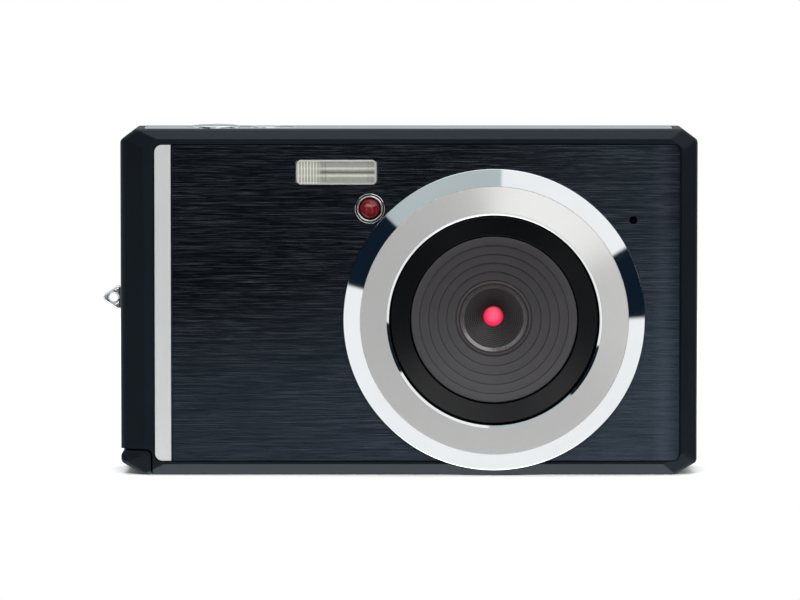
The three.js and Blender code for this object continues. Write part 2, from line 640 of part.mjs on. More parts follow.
function strapEyelet() {
  const x = -SIDE_TRIM.outer;
  const outline = roundedOutline(
    [
      [x + 0.4, STRAP.z - STRAP.halfHeight],
      [x + 0.4, STRAP.z + STRAP.halfHeight],
      [x - STRAP.reach * 0.45, STRAP.z + STRAP.halfHeight * 0.85],
      [x - STRAP.reach, STRAP.z + 0.5],
      [x - STRAP.reach, STRAP.z - 0.5],
      [x - STRAP.reach * 0.45, STRAP.z - STRAP.halfHeight * 0.85],
    ].reverse(),
    1,
  );
  // The loop stands just outside the trim; its tang passes through the side wall.
  const loop = alongY(outline, -STRAP.halfDepth, STRAP.halfDepth, 4)
    .intersect(box(-BIG, x - 0.1, ...depthRange))
    .subtract(rodY(STRAP.hole, x - STRAP.reach * 0.45, -2, 2, STRAP.z, 16));
  const tang = box(x - 0.2, -42.9, -STRAP.halfDepth, STRAP.halfDepth, STRAP.z - 1.5, STRAP.z + 1.5);
  return loop.add(tang);
}
piece("strap_eyelet", strapEyelet(), MATERIAL.chrome);

const bush = rodZ(BUSH.radius, BUSH.x, 0, BUSH.recess, BUSH.top, 24);
piece("tripod_bush", bush.subtract(rodZ(BUSH.bore, BUSH.x, 0, -1, BUSH.depth, 24)), MATERIAL.steel);

/** A countersunk screw along +Z with a cross slot, its head at the bottom. */
function screwSolid(headDepth = SCREW.headDepth) {
  const slot = box(-1, 1, -0.18, 0.18, -1, 0.35);
  return rodZ(SCREW.head, 0, 0, 0, headDepth, 16)
    .add(rodZ(SCREW.shank, 0, 0, headDepth - 0.1, SCREW.length, 10))
    .subtract(slot)
    .subtract(slot.rotate([0, 0, 90]));
}
BASE_SCREWS.forEach((x, i) => {
  piece(`base_screw_${i + 1}`, screwSolid(), MATERIAL.steel, groupAt(x, 0, SCREW.sunk));
});
SIDE_SCREWS.forEach((z, i) => {
  const mesh = piece(`side_screw_${i + 1}`, screwSolid(0.4), MATERIAL.steel, groupAt(SIDE_TRIM.outer - 0.1, 0, z));
  mesh.rotation.y = -Math.PI / 2;
});

// ---------------------------------------------------------------- top buttons

/** A round top button: a crowned cap, a flange that keeps it in, and a stem. It is built about Z. */
function topButton({ radius, top, stem }) {
  const flangeTop = CASE.height - FRAME_WALL - 0.25;
  const profile = [
    [0, stem],
    [0.9, stem],
    [0.9, flangeTop - 0.7],
    [radius + 0.55, flangeTop - 0.7],
    [radius + 0.55, flangeTop],
    [radius, flangeTop],
    [radius, top - 0.35],
    [radius - 0.4, top - 0.1],
    [0, top],
  ];
  return turned(profile).rotate([90, 0, 0]);
}
for (const [name, button] of Object.entries({ shutter: SHUTTER, power: POWER })) {
  const group = groupAt(button.x, 0, 0);
  piece(`${name}_button`, topButton(button), MATERIAL.chrome, group);
  const spring = coilSpring(button.spring, TOP_BOARD.top + 0.3, 51.5, 3);
  piece(`${name}_spring`, spring, MATERIAL.steel, group);
}

function topSwitchBoard() {
  const b = TOP_BOARD;
  let board = box(b.left, b.right, -b.halfDepth, b.halfDepth, b.bottom, b.top);
  for (const { x } of [SHUTTER, POWER]) board = board.add(box(x - 1.1, x + 1.1, -1.1, 1.1, b.top - 0.1, b.top + 0.8));
  return board;
}
piece("top_switch_board", topSwitchBoard(), MATERIAL.board);

// ---------------------------------------------------------------- back controls and screen

const screenBack = CASE.back - SCREEN.depth + 0.1;
const screenShape = rectangle(SCREEN.left, SCREEN.right, SCREEN.bottom, SCREEN.top, SCREEN.corner);
piece("screen_window", alongY(screenShape, screenBack, CASE.back - 0.02), MATERIAL.screen);
piece("lcd_panel", box(PANEL.left, PANEL.right, PANEL.front, PANEL.back, PANEL.bottom, PANEL.top), MATERIAL.panel);

const KEY = { top: CASE.back + KEY_PROUD, flangeTop: CASE.back - CASE.backWall - 0.1, flange: 0.45, bottom: 7.6 };

/** The profile of a round key about Y: a rounded cap with a flange behind the wall. */
const keyProfile = (radius) => [
  [0, KEY.bottom],
  [radius + 0.7, KEY.bottom],
  [radius + 0.7, KEY.flangeTop],
  [radius, KEY.flangeTop],
  [radius, KEY.top - 0.25],
  [radius - 0.3, KEY.top],
  [0, KEY.top],
];
for (const [name, [x, z]] of Object.entries(KEYS)) {
  piece(name, turned(keyProfile(KEY_RADIUS), 20), MATERIAL.chrome, groupAt(x, 0, z));
}

const padGroup = groupAt(PAD.x, 0, PAD.z);
const ringProfile = [
  [PAD.inner, 8.3],
  [PAD.outer, 8.3],
  [PAD.outer, KEY.top - 0.1],
  [PAD.outer - 0.5, KEY.top + 0.15],
  [PAD.inner + 0.9, KEY.top - 0.15],
  [PAD.inner, KEY.top - 0.35],
];
piece("navigation_ring", turned(ringProfile, 32), MATERIAL.chrome, padGroup);
const carrier = turned([[PAD.inner + 0.4, 7.2], [PAD.outer - 1, 7.2], [PAD.outer - 1, 7.6], [PAD.inner + 0.4, 7.6]]);
piece("navigation_carrier", carrier, MATERIAL.rubber, padGroup);
const okProfile = [
  [0, 7.6],
  [PAD.inner + 0.2, 7.6],
  [PAD.inner + 0.2, 7.95],
  [PAD.ok, 7.95],
  [PAD.ok, KEY.top - 0.35],
  [PAD.ok - 0.3, KEY.top - 0.1],
  [0, KEY.top - 0.1],
];
piece("ok_button", turned(okProfile), MATERIAL.chrome, padGroup);

{
  const { halfWidth: w, halfHeight: h } = ROCKER;
  const cap = alongY(rectangle(-w, w, -h, h, h), KEY.flangeTop - 0.6, KEY.top + 0.2, 4);
  const valley = rodZ(26, 0, KEY.top + 25.85, -BIG, BIG, 96);
  const keeper = box(-1.6, 1.6, 7.6, KEY.flangeTop - 0.1, -h - 0.7, h + 0.7);
  piece("zoom_rocker", cap.subtract(valley).add(keeper), MATERIAL.chrome, groupAt(ROCKER.x, 0, ROCKER.z));
}

piece("status_lamp", rodY(STATUS.radius, STATUS.x, 7.2, CASE.back, STATUS.z, 12), MATERIAL.flashClear);
piece("speaker", box(SPEAKER.x - 6, SPEAKER.x + 6, 6.3, 8.1, 2.6, 7.2), MATERIAL.chip);

function keypadMat() {
  const rear = 6.45;
  let mat = box(-41.5, -14, 5.85, rear, 7.8, 49);
  const domes = [...Object.values(KEYS), [PAD.x, PAD.z], [ROCKER.x - 5.5, ROCKER.z], [ROCKER.x + 5.5, ROCKER.z]];
  for (const [x, z] of domes) mat = mat.add(rodY(1.5, x, rear - 0.1, rear + 0.4, z, 12));
  for (const [dx, dz] of [[7, 0], [-7, 0], [0, 7], [0, -7]]) {
    mat = mat.add(rodY(1, PAD.x + dx, rear - 0.1, rear + 0.2, PAD.z + dz, 10));
  }
  return mat;
}
piece("keypad_mat", keypadMat(), MATERIAL.rubber);
piece("main_board", box(-41.5, 38.5, 4.5, 5.4, 7.6, 49.5), MATERIAL.board);
piece("processor_chip", box(27.5, 38, 3.3, 4.35, 26, 36.5), MATERIAL.chip);

// ---------------------------------------------------------------- battery, card, door and USB socket

const bayShell = box(BAY.left, BAY.right, BAY.front, BAY.back, BAY.bottom, BAY.top);
const bayHollow = box(
  BAY.left + BAY.wall, BAY.right - BAY.wall, BAY.front + BAY.wall, BAY.back - BAY.wall, 0, BAY.top - BAY.wall,
);
piece("battery_bay", bayShell.subtract(bayHollow), MATERIAL.lensBlack);
{
  const b = BATTERY;
  const outline = rectangle(b.left + 0.3, b.right - 0.3, b.front, b.back, 1);
  piece("battery", alongZ(outline, b.bottom, b.top), MATERIAL.battery);
}
piece("battery_contacts", box(-20, -13, -4.6, -1.2, 41.2, 42.4), MATERIAL.brass);

{
  const c = SOCKET;
  const shell = box(c.left, c.right, c.front, c.back, c.bottom, c.top);
  const slot = box(c.left + c.wall, c.right - c.wall, c.front + c.wall, c.back - c.wall, 0, c.top - 1);
  piece("card_socket", shell.subtract(slot), MATERIAL.steel);
  const k = CARD;
  const card = roundedOutline(
    [[k.left, k.bottom], [k.right, k.bottom], [k.right, k.top], [k.left + k.corner, k.top], [k.left, k.top - k.corner]],
    0.5,
  );
  piece("memory_card", alongY(card, k.front, k.back), MATERIAL.card);
}

function batteryDoor() {
  const d = DOOR;
  const corner = block
    .intersect(box(-BIG, d.cornerRight, -BIG, BIG, -BIG, d.top))
    .subtract(box(-BIG, HINGE.x, -BIG, BIG, HINGE.z, BIG))
    .add(rodY(HINGE.knuckle, HINGE.x, CASE.front + 1.2, CASE.back - 1.2, HINGE.z, 20));
  const leaf = block.intersect(box(-42, d.right, -d.halfDepth, d.halfDepth, -BIG, d.thickness));
  const rib = box(-39, -13, -4.4, -1.4, d.thickness - 0.1, BATTERY.bottom - 0.35);
  const scallop = rodX(1.2, -17, d.right + 1, 0, -0.75, 20);
  let door = corner.add(leaf).add(rib).subtract(scallop);
  for (const side of [-1, 1]) {
    const [n0, n1] = [(HINGE.earFrom - 0.25) * side, (HINGE.earTo + 0.25) * side].sort((a, b) => a - b);
    door = door
      .subtract(rodY(HINGE.ear + 0.2, HINGE.x, n0, n1, HINGE.z, 20))
      .subtract(box(-BIG, HINGE.x + HINGE.ear + 0.2, n0, n1, HINGE.z, BIG))
      .subtract(box(-BIG, HINGE.x, n0, n1, HINGE.z - HINGE.ear - 0.2, BIG));
  }
  return door.subtract(rodY(HINGE.pin + 0.05, HINGE.x, -4.6, 4.6, HINGE.z, 12));
}
piece("battery_door", batteryDoor(), MATERIAL.shell);
piece("door_hinge_pin", rodY(HINGE.pin, HINGE.x, -4.5, 4.5, HINGE.z, 10), MATERIAL.steel);

{
  const [h, w, t] = [USB.halfHeight - 0.1, USB.halfDepth - 0.1, USB.wall];
  const mouth = 44.6;
  const shell = alongX(rectangle(-w, w, USB.z - h, USB.z + h, 0.7), mouth - USB.depth, mouth);
  const hollow = alongX(rectangle(-w + t, w - t, USB.z - h + t, USB.z + h - t, 0.5), mouth - USB.depth + 0.6, mouth + 1);
  const tongue = box(mouth - USB.depth, mouth - 1, -0.45, 0.45, USB.z - 2.4, USB.z + 2.4);
  piece("usb_socket", shell.subtract(hollow).add(tongue), MATERIAL.steel);
}

export default camera;
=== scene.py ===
"""Compact digital camera: fine meshes and finishes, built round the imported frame.

Sizes are in millimetres in the frame's own axes: X to the right seen from the front, Y from the
front to the back, Z up. A finished mesh is stored in metres. Places come from the frame's boxes.
"""

from __future__ import annotations

import json
import logging
import math
from dataclasses import dataclass
from enum import Enum
from typing import Sequence

import bmesh
import bpy
import numpy as np
from mathutils import Matrix, Vector
from mathutils.geometry import tessellate_polygon

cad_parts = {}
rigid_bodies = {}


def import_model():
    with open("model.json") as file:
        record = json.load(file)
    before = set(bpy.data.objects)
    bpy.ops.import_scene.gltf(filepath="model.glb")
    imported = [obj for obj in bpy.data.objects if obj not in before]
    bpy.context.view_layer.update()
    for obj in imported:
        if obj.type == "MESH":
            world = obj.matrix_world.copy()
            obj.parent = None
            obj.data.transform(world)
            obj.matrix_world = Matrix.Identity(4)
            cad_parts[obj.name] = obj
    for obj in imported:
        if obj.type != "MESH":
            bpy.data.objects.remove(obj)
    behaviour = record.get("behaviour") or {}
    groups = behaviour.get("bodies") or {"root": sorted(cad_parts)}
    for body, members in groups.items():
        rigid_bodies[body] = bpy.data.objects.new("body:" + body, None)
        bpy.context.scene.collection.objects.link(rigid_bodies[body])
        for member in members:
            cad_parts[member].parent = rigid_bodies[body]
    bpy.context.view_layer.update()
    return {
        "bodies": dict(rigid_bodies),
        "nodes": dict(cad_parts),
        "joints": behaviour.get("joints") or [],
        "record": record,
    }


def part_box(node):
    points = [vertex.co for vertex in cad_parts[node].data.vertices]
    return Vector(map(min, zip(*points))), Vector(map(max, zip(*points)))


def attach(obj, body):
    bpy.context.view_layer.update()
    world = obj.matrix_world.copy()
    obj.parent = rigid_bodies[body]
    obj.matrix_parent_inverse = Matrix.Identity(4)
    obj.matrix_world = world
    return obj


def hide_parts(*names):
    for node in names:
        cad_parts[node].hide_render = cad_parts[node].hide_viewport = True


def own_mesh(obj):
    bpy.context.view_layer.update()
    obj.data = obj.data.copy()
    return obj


LOG = logging.getLogger("camera")
MM = 0.001
Array = np.ndarray
Piece = bpy.types.Object
Socket = bpy.types.NodeSocket
Material = bpy.types.Material
Pair = tuple[float, float]
Colour = tuple[float, float, float]


# ---------------------------------------------------------------- outlines and profiles


def unit(vectors: Array) -> Array:
    """Vectors divided by their own lengths."""
    return vectors / np.linalg.norm(vectors, axis=-1, keepdims=True)


def half_angle(before: Array, after: Array) -> Array:
    """Half of the angle between unit vectors, of shape (n, 1)."""
    return 0.5 * np.arccos(np.clip((before * after).sum(axis=-1, keepdims=True), -1, 1))


def fillets(corner: Array, before: Array, after: Array, radius: Array, steps: int) -> Array:
    """Arcs that round corners off.

    An arc touches both sides at radius / tan(half the corner's angle) from the corner. It is swept
    between the two points by weights sin((1-t)w)/sin(w) and sin(tw)/sin(w), where w is the angle
    that it turns through.

    Args:
        corner: The sharp corners, of shape (..., n, 2).
        before: Unit vectors back along the side before each corner, of shape (n, 2).
        after: Unit vectors along the side after it.
        radius: The radii, of shape (..., n, 1).
        steps: How many straight pieces each arc has.

    Returns:
        Points of shape (..., n, steps + 1, 2).
    """
    half = half_angle(before, after)
    centre = corner + unit(before + after) * radius / np.sin(half)
    start = corner + before * radius / np.tan(half) - centre
    end = corner + after * radius / np.tan(half) - centre
    turn = np.pi - 2 * half
    t = np.linspace(0, 1, steps + 1)
    first = (np.sin((1 - t) * turn) / np.sin(turn))[..., None]
    second = (np.sin(t * turn) / np.sin(turn))[..., None]
    return centre[..., None, :] + first * start[..., None, :] + second * end[..., None, :]


@dataclass(frozen=True)
class Outline:
    """A convex outline with round corners, listed anticlockwise.

    Attributes:
        corners: The sharp corners, as pairs.
        radius: One corner radius, or one for each corner.
        steps: How many straight pieces each round corner has.
    """

    corners: Sequence[Pair]
    radius: float | Sequence[float]
    steps: int = 8

    def at(self, insets: Array) -> Array:
        """The outline moved inwards by each inset.

        A corner slides along its bisector by inset / sin(half its angle), and its radius loses the
        inset.

        Args:
            insets: The distances, of shape (m,). A negative one moves outwards.

        Returns:
            Points of shape (m, n, 2).
        """
        inset = np.atleast_1d(np.asarray(insets, float))[:, None, None]
        corner = np.asarray(self.corners, float)
        before = unit(np.roll(corner, 1, axis=0) - corner)
        after = unit(np.roll(corner, -1, axis=0) - corner)
        moved = corner + unit(before + after) * inset / np.sin(half_angle(before, after))
        radius = np.broadcast_to(np.asarray(self.radius, float), (len(corner),))[:, None]
        arcs = fillets(moved, before, after, np.maximum(radius - inset, 0.01), self.steps)
        return arcs.reshape(len(inset), -1, 2)


@dataclass(frozen=True)
class Disc:
    """A round outline."""

    centre: Pair
    radius: float
    steps: int = 64

    def at(self, insets: Array) -> Array:
        """The circle of the radius less each inset, of shape (m, steps, 2)."""
        radius = self.radius - np.atleast_1d(np.asarray(insets, float))[:, None, None]
        angle = np.linspace(0, 2 * np.pi, self.steps, endpoint=False)
        circle = np.stack([np.cos(angle), np.sin(angle)], axis=-1)
        return np.asarray(self.centre) + radius * circle


@dataclass(frozen=True)
class Section:
    """A closed outline of any shape, which insets don't change."""

    points: Array

    def at(self, insets: Array) -> Array:
        """The same points for each inset, of shape (m, n, 2)."""
        return np.broadcast_to(self.points, (len(np.atleast_1d(insets)), *self.points.shape))


Shape = Outline | Disc | Section


def rectangle(low: Pair, high: Pair, radius: float | Sequence[float], steps: int = 8) -> Outline:
    """A rounded rectangle between two corners. Radii run anticlockwise from the low corner."""
    (x0, y0), (x1, y1) = low, high
    return Outline(((x0, y0), (x1, y0), (x1, y1), (x0, y1)), radius, steps)


def around(centre: Pair, half: Pair, radius: float, steps: int = 8) -> Outline:
    """A rounded rectangle about a centre, given half of its width and height."""
    (x, y), (wide, tall) = centre, half
    return rectangle((x - wide, y - tall), (x + wide, y + tall), radius, steps)


def rounded_path(points: Sequence[Pair], radii: Sequence[float], steps: int = 5) -> Array:
    """An open path with its inner corners rounded into arcs.

    Args:
        points: The sharp path.
        radii: One radius for each inner corner.
        steps: How many straight pieces each arc has.

    Returns:
        The rounded path, of shape (n, 2).
    """
    path = np.asarray(points, float)
    corner = path[1:-1]
    before, after = unit(path[:-2] - corner), unit(path[2:] - corner)
    arcs = fillets(corner, before, after, np.asarray(radii, float)[:, None], steps)
    return np.concatenate([path[:1], arcs.reshape(-1, 2), path[-1:]])


def subdivided(loops: Array, count: int) -> Array:
    """Closed loops, of shape (m, n, 2), with each side cut into count equal parts."""
    share = (np.arange(count) / count)[:, None]
    along = np.roll(loops, -1, axis=1) - loops
    return (loops[:, :, None] + along[:, :, None] * share).reshape(len(loops), -1, 2)


def straight(low: float, high: float) -> Array:
    """The profile of a block with sharp edges."""
    return np.array([(0.0, low), (0.0, high)])


def edge_profile(low: float, high: float, edge: float, foot: float = 0.0, steps: int = 5) -> Array:
    """The profile of a block from its foot to its face, with rounded edges.

    Args:
        low: The height of the foot.
        high: The height of the face.
        edge: The radius of the face's edge.
        foot: The radius of the foot's edge.
        steps: How many straight pieces each edge has.

    Returns:
        Pairs of (inset, height), of shape (n, 2).
    """
    angle = np.linspace(0, np.pi / 2, steps + 1)
    upper = np.column_stack([edge * (1 - np.cos(angle)), high - edge * (1 - np.sin(angle))])
    if foot <= 0:
        return np.concatenate([[[0.0, low]], upper])
    back = angle[::-1]
    lower = np.column_stack([foot * (1 - np.cos(back)), low + foot * (1 - np.sin(back))])
    return np.concatenate([lower, upper])


def flare_profile(low: float, face: float, edge: float) -> Array:
    """The profile of a cutter that leaves a rounded edge where its hole meets a face.

    The wall is straight up to face - edge, opens outwards by a quarter circle of that radius, and
    carries on straight past the face.
    """
    angle = np.linspace(0, np.pi / 2, 6)
    arc = np.column_stack([-edge * (1 - np.cos(angle)), face - edge * (1 - np.sin(angle))])
    return np.concatenate([[[0.0, low]], arc, [[-edge, face + 1]]])


# ---------------------------------------------------------------- surfaces


class Facing(Enum):
    """The side of the camera that a surface looks out of, as signed axes for (across, up, out)."""

    FRONT = ((0, 1), (2, 1), (1, -1))
    BACK = ((0, 1), (2, 1), (1, 1))
    TOP = ((0, 1), (1, 1), (2, 1))
    UNDER = ((0, 1), (1, 1), (2, -1))
    LEFT = ((1, 1), (2, 1), (0, -1))
    RIGHT = ((1, 1), (2, 1), (0, 1))

    @property
    def axes(self) -> list[int]:
        """The axes that run across and up."""
        return [axis for axis, _ in self.value[:2]]

    def place(self, local: Array) -> Array:
        """Points given as (across, up, out), turned into X, Y and Z."""
        world = np.empty_like(local)
        for column, (axis, sign) in enumerate(self.value):
            world[:, axis] = sign * local[:, column]
        return world


class Surface:
    """A closed mesh gathered from grids and flat caps, in millimetres."""

    def __init__(self, facing: Facing = Facing.FRONT) -> None:
        """Starts an empty surface that looks out of one side."""
        self.facing = facing
        self._points: list[Array] = []
        self._faces: list[Array] = []
        self._slots: list[Array] = []
        self._count = 0

    def _add(self, points: Array, faces: Array, slots: Array) -> None:
        """Appends points and faces that count from the first of them."""
        self._points.append(points)
        self._faces.append(faces + self._count)
        self._slots.append(slots)
        self._count += len(points)

    def grid(self, rows: Array, slots: int | Array = 0, ring: bool = False) -> Surface:
        """Adds a grid whose columns close on themselves.

        Args:
            rows: Points (across, up, out) of shape (m, n, 3).
            slots: The material slot, or one for each gap between rows.
            ring: Whether the last row joins the first as well.

        Returns:
            This surface.
        """
        m, n = rows.shape[:2]
        gaps = m if ring else m - 1
        i, j = np.meshgrid(np.arange(gaps), np.arange(n), indexing="ij")
        below, right = (i + 1) % m, (j + 1) % n
        faces = np.stack([i * n + j, i * n + right, below * n + right, below * n + j], axis=-1)
        per_gap = np.broadcast_to(np.asarray(slots), (gaps,))
        self._add(rows.reshape(-1, 3), faces.reshape(-1, 4), np.repeat(per_gap, n))
        return self

    def band(self, outline: Shape, profile: Array, slots: int | Array = 0) -> Surface:
        """Adds an outline carried along a profile of (inset, height out) pairs."""
        profile = np.asarray(profile, float)
        loops = outline.at(profile[:, 0])
        heights = np.broadcast_to(profile[:, 1, None, None], (*loops.shape[:2], 1))
        return self.grid(np.concatenate([loops, heights], axis=-1), slots)

    def turn(self, centre: Pair, profile: Array, steps: int, slots: int | Array = 0) -> Surface:
        """Adds a profile of (radius, height out) pairs turned about an axis through the centre."""
        return self.band(Disc(centre, 0.0, steps), np.asarray(profile) * (-1, 1), slots)

    def cap(self, loop: Array, height: float | Array) -> Surface:
        """Adds a face inside a loop, flat or with a height for each of its points."""
        faces = np.asarray(tessellate_polygon([[Vector((*point, 0)) for point in loop]]), int)
        heights = np.broadcast_to(height, (len(loop),))
        self._add(np.column_stack([loop, heights]), faces, np.zeros(len(faces), int))
        return self

    def block(self, outline: Shape, profile: Array) -> Surface:
        """Adds a closed solid: an outline carried along a profile, with a cap at each end."""
        profile = np.asarray(profile, float)
        self.band(outline, profile)
        for inset, height in (profile[0], profile[-1]):
            self.cap(outline.at(inset)[0], height)
        return self

    def build(self, name: str) -> Piece:
        """Makes the object, welded and with its faces pointing out.

        Args:
            name: The object's name.

        Returns:
            The new object, still in millimetres.
        """
        points = self.facing.place(np.concatenate(self._points))
        sizes = np.concatenate([np.full(len(faces), faces.shape[1]) for faces in self._faces])
        mesh = bpy.data.meshes.new(name)
        mesh.vertices.add(len(points))
        mesh.vertices.foreach_set("co", points.ravel())
        mesh.loops.add(int(sizes.sum()))
        corners = np.concatenate([faces.ravel() for faces in self._faces])
        mesh.loops.foreach_set("vertex_index", corners.astype(np.int32))
        mesh.polygons.add(len(sizes))
        starts = np.concatenate([[0], np.cumsum(sizes)[:-1]])
        mesh.polygons.foreach_set("loop_start", starts.astype(np.int32))
        slots = np.concatenate(self._slots)
        mesh.polygons.foreach_set("material_index", slots.astype(np.int32))
        mesh.update(calc_edges=True)
        weld(mesh)
        piece = bpy.data.objects.new(name, mesh)
        bpy.context.scene.collection.objects.link(piece)
        return piece


def weld(mesh: bpy.types.Mesh, distance: float = 5e-4) -> None:
    """Merges doubled points, drops faces with no area and turns every face outwards."""
    work = bmesh.new()
    work.from_mesh(mesh)
    bmesh.ops.remove_doubles(work, verts=work.verts, dist=distance)
    bmesh.ops.dissolve_degenerate(work, edges=work.edges, dist=distance * 0.2)
    bmesh.ops.recalc_face_normals(work, faces=work.faces)
    work.to_mesh(mesh)
    work.free()


def tool(facing: Facing, outline: Shape, profile: Array) -> Piece:
    """A solid that cuts a piece or is joined to it."""
    return Surface(facing).block(outline, profile).build("tool")


def box_tool(low: Sequence[float], high: Sequence[float]) -> Piece:
    """A plain block between two corners, for carving."""
    outline = rectangle(low[:2], high[:2], 0.01, steps=1)
    return tool(Facing.TOP, outline, straight(low[2], high[2]))


class Cut(Enum):
    """How one solid changes another."""

    AWAY = "DIFFERENCE"
    KEEP = "INTERSECT"
    JOIN = "UNION"


def carve(
    piece: Piece, solids: Sequence[Piece], how: Cut = Cut.AWAY
) -> None:
    """Cuts or joins solids and puts the result into the piece's mesh.

    Args:
        piece: The solid that is changed.
        solids: The solids that change it, which are used up.
        how: Whether they are cut away, kept in common or joined on.
    """
    for solid in solids:
        modifier = piece.modifiers.new("carve", "BOOLEAN")
        modifier.operation = how.value
        modifier.solver = "MANIFOLD"
        modifier.object = solid
    bpy.context.view_layer.update()
    seen = piece.evaluated_get(bpy.context.evaluated_depsgraph_get())
    mesh = bpy.data.meshes.new_from_object(seen)
    old = piece.data
    piece.modifiers.clear()
    piece.data = mesh
    bpy.data.meshes.remove(old)
    mesh.name = piece.name
    for solid in solids:
        bpy.data.objects.remove(solid)


# ---------------------------------------------------------------- places from the frame


@dataclass(frozen=True)
class Span:
    """The box of one CAD node, in millimetres."""

    low: Array
    high: Array

    @classmethod
    def of(cls, node: str) -> Span:
        """The box of a node of the frame."""
        low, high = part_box(node)
        return cls(np.array(low) / MM, np.array(high) / MM)

    @property
    def centre(self) -> Array:
        """The middle of the box."""
        return (self.low + self.high) / 2

    @property
    def size(self) -> Array:
        """The box's width, depth and height."""
        return self.high - self.low

    @property
    def radius(self) -> float:
        """Half of the width, which is the radius of a round node."""
        return float(self.size[0]) / 2

    def at(self, facing: Facing) -> Pair:
        """The middle of the box seen from one side, as (across, up)."""
        across, up = self.centre[facing.axes]
        return float(across), float(up)

    def reach(self, facing: Facing) -> Pair:
        """The two ends of the box along the way out of one side, the inner one first."""
        axis, sign = facing.value[2]
        low, high = sorted((sign * float(self.low[axis]), sign * float(self.high[axis])))
        return low, high

    def outline(
        self, facing: Facing, radius: float | Sequence[float], grow: float = 0.0, steps: int = 8
    ) -> Outline:
        """The box seen from one side, grown by a margin and with round corners."""
        axes = facing.axes
        return rectangle(self.low[axes] - grow, self.high[axes] + grow, radius, steps)


# ---------------------------------------------------------------- finishes


def tint(red: float, green: float, blue: float) -> Colour:
    """A linear colour from display values of 0 to 255, by the standard display curve."""
    share = np.array([red, green, blue]) / 255
    linear = np.where(share <= 0.04045, share / 12.92, ((share + 0.055) / 1.055) ** 2.4)
    return tuple(float(value) for value in linear)


class Nodes:
    """A node tree, with short calls that add and join its nodes."""

    def __init__(self, tree: bpy.types.NodeTree) -> None:
        """Works on one tree."""
        self.tree = tree

    def node(self, kind: str, **settings: object) -> bpy.types.Node:
        """Adds a node and sets its properties."""
        made = self.tree.nodes.new(f"ShaderNode{kind}")
        for label, value in settings.items():
            setattr(made, label, value)
        return made

    def feed(self, source: object, socket: Socket) -> None:
        """Links a socket to an input, or sets the input to a number or a colour."""
        if isinstance(source, Socket):
            self.tree.links.new(source, socket)
        elif isinstance(source, tuple) and len(socket.default_value) > len(source):
            socket.default_value = (*source, 1.0)
        else:
            socket.default_value = source

    def sum(self, first: object, second: object, how: str = "ADD") -> Socket:
        """Two values added, multiplied or compared."""
        made = self.node("Math", operation=how)
        self.feed(first, made.inputs[0])
        self.feed(second, made.inputs[1])
        return made.outputs[0]

    def times(self, *values: object) -> Socket:
        """Values multiplied together."""
        result = values[0]
        for value in values[1:]:
            result = self.sum(result, value, "MULTIPLY")
        return result

    def spread(
        self, factor: object, source: Pair, result: Pair = (0.0, 1.0), smooth: bool = False
    ) -> Socket:
        """A value moved from one range to another, and held inside it."""
        made = self.node("MapRange", interpolation_type="SMOOTHSTEP" if smooth else "LINEAR")
        for label, value in zip(("From Min", "From Max", "To Min", "To Max"), (*source, *result)):
            made.inputs[label].default_value = value
        self.feed(factor, made.inputs["Value"])
        return made.outputs["Result"]

    def window(self, value: object, low: float, high: float, soft: float) -> Socket:
        """One between two edges and nothing outside, with soft steps."""
        up = self.spread(value, (low - soft, low + soft), smooth=True)
        down = self.spread(value, (high + soft, high - soft), smooth=True)
        return self.times(up, down)

    def blend(
        self, factor: object, first: object, second: object, how: str = "MIX"
    ) -> Socket:
        """The first colour, and the second one by a factor that may be above one."""
        made = self.node("Mix", data_type="RGBA", blend_type=how, clamp_factor=False)
        for index, value in ((0, factor), (6, first), (7, second)):
            self.feed(value, made.inputs[index])
        return made.outputs[2]

    def axes(self, vector: Socket) -> list[Socket]:
        """The three parts of a vector."""
        made = self.node("SeparateXYZ")
        self.feed(vector, made.inputs[0])
        return list(made.outputs)


class Sketch(Nodes):
    """One material: a Principled shader and the patterns that drive it."""

    def __init__(self, name: str, colour: Colour, roughness: float, **sockets: float) -> None:
        """Starts the material from its constant values.

        Args:
            name: The material's name.
            colour: The base colour.
            roughness: The roughness.
            **sockets: Other inputs, named with underscores for spaces.
        """
        self.material = bpy.data.materials.new(name)
        self.material.use_nodes = True
        super().__init__(self.material.node_tree)
        self.shader = self.tree.nodes["Principled BSDF"]
        self.paint("Base Color", colour)
        self.paint("Roughness", roughness)
        for label, value in sockets.items():
            self.paint(label.replace("_", " "), value)

    def paint(self, label: str, source: object) -> None:
        """Sets one of the shader's own inputs, or links it."""
        self.feed(source, self.shader.inputs[label])

    def place(self, stretch: Sequence[float] = (1, 1, 1)) -> Socket:
        """Object coordinates, scaled along each axis."""
        mapping = self.node("Mapping")
        mapping.inputs["Scale"].default_value = stretch
        self.feed(self.node("TexCoord").outputs["Object"], mapping.inputs["Vector"])
        return mapping.outputs["Vector"]

    def noise(
        self, size: float | Sequence[float], detail: float = 2.0, rough: float = 0.5
    ) -> Socket:
        """Noise whose features have the given size in millimetres, along each axis or all."""
        sizes = np.broadcast_to(np.asarray(size, float), (3,))
        made = self.node("TexNoise")
        for label, value in (("Scale", 1.0), ("Detail", detail), ("Roughness", rough)):
            made.inputs[label].default_value = value
        self.feed(self.place(tuple(1 / (sizes * MM))), made.inputs["Vector"])
        return made.outputs["Fac"]

    def bump(self, height: Socket, depth: float, strength: float = 1.0) -> None:
        """Raises the surface by a height pattern, its full range being depth millimetres."""
        made = self.node("Bump")
        for label, value in (("Distance", depth * MM), ("Strength", strength), ("Height", height)):
            self.feed(value, made.inputs[label])
        self.paint("Normal", made.outputs["Normal"])


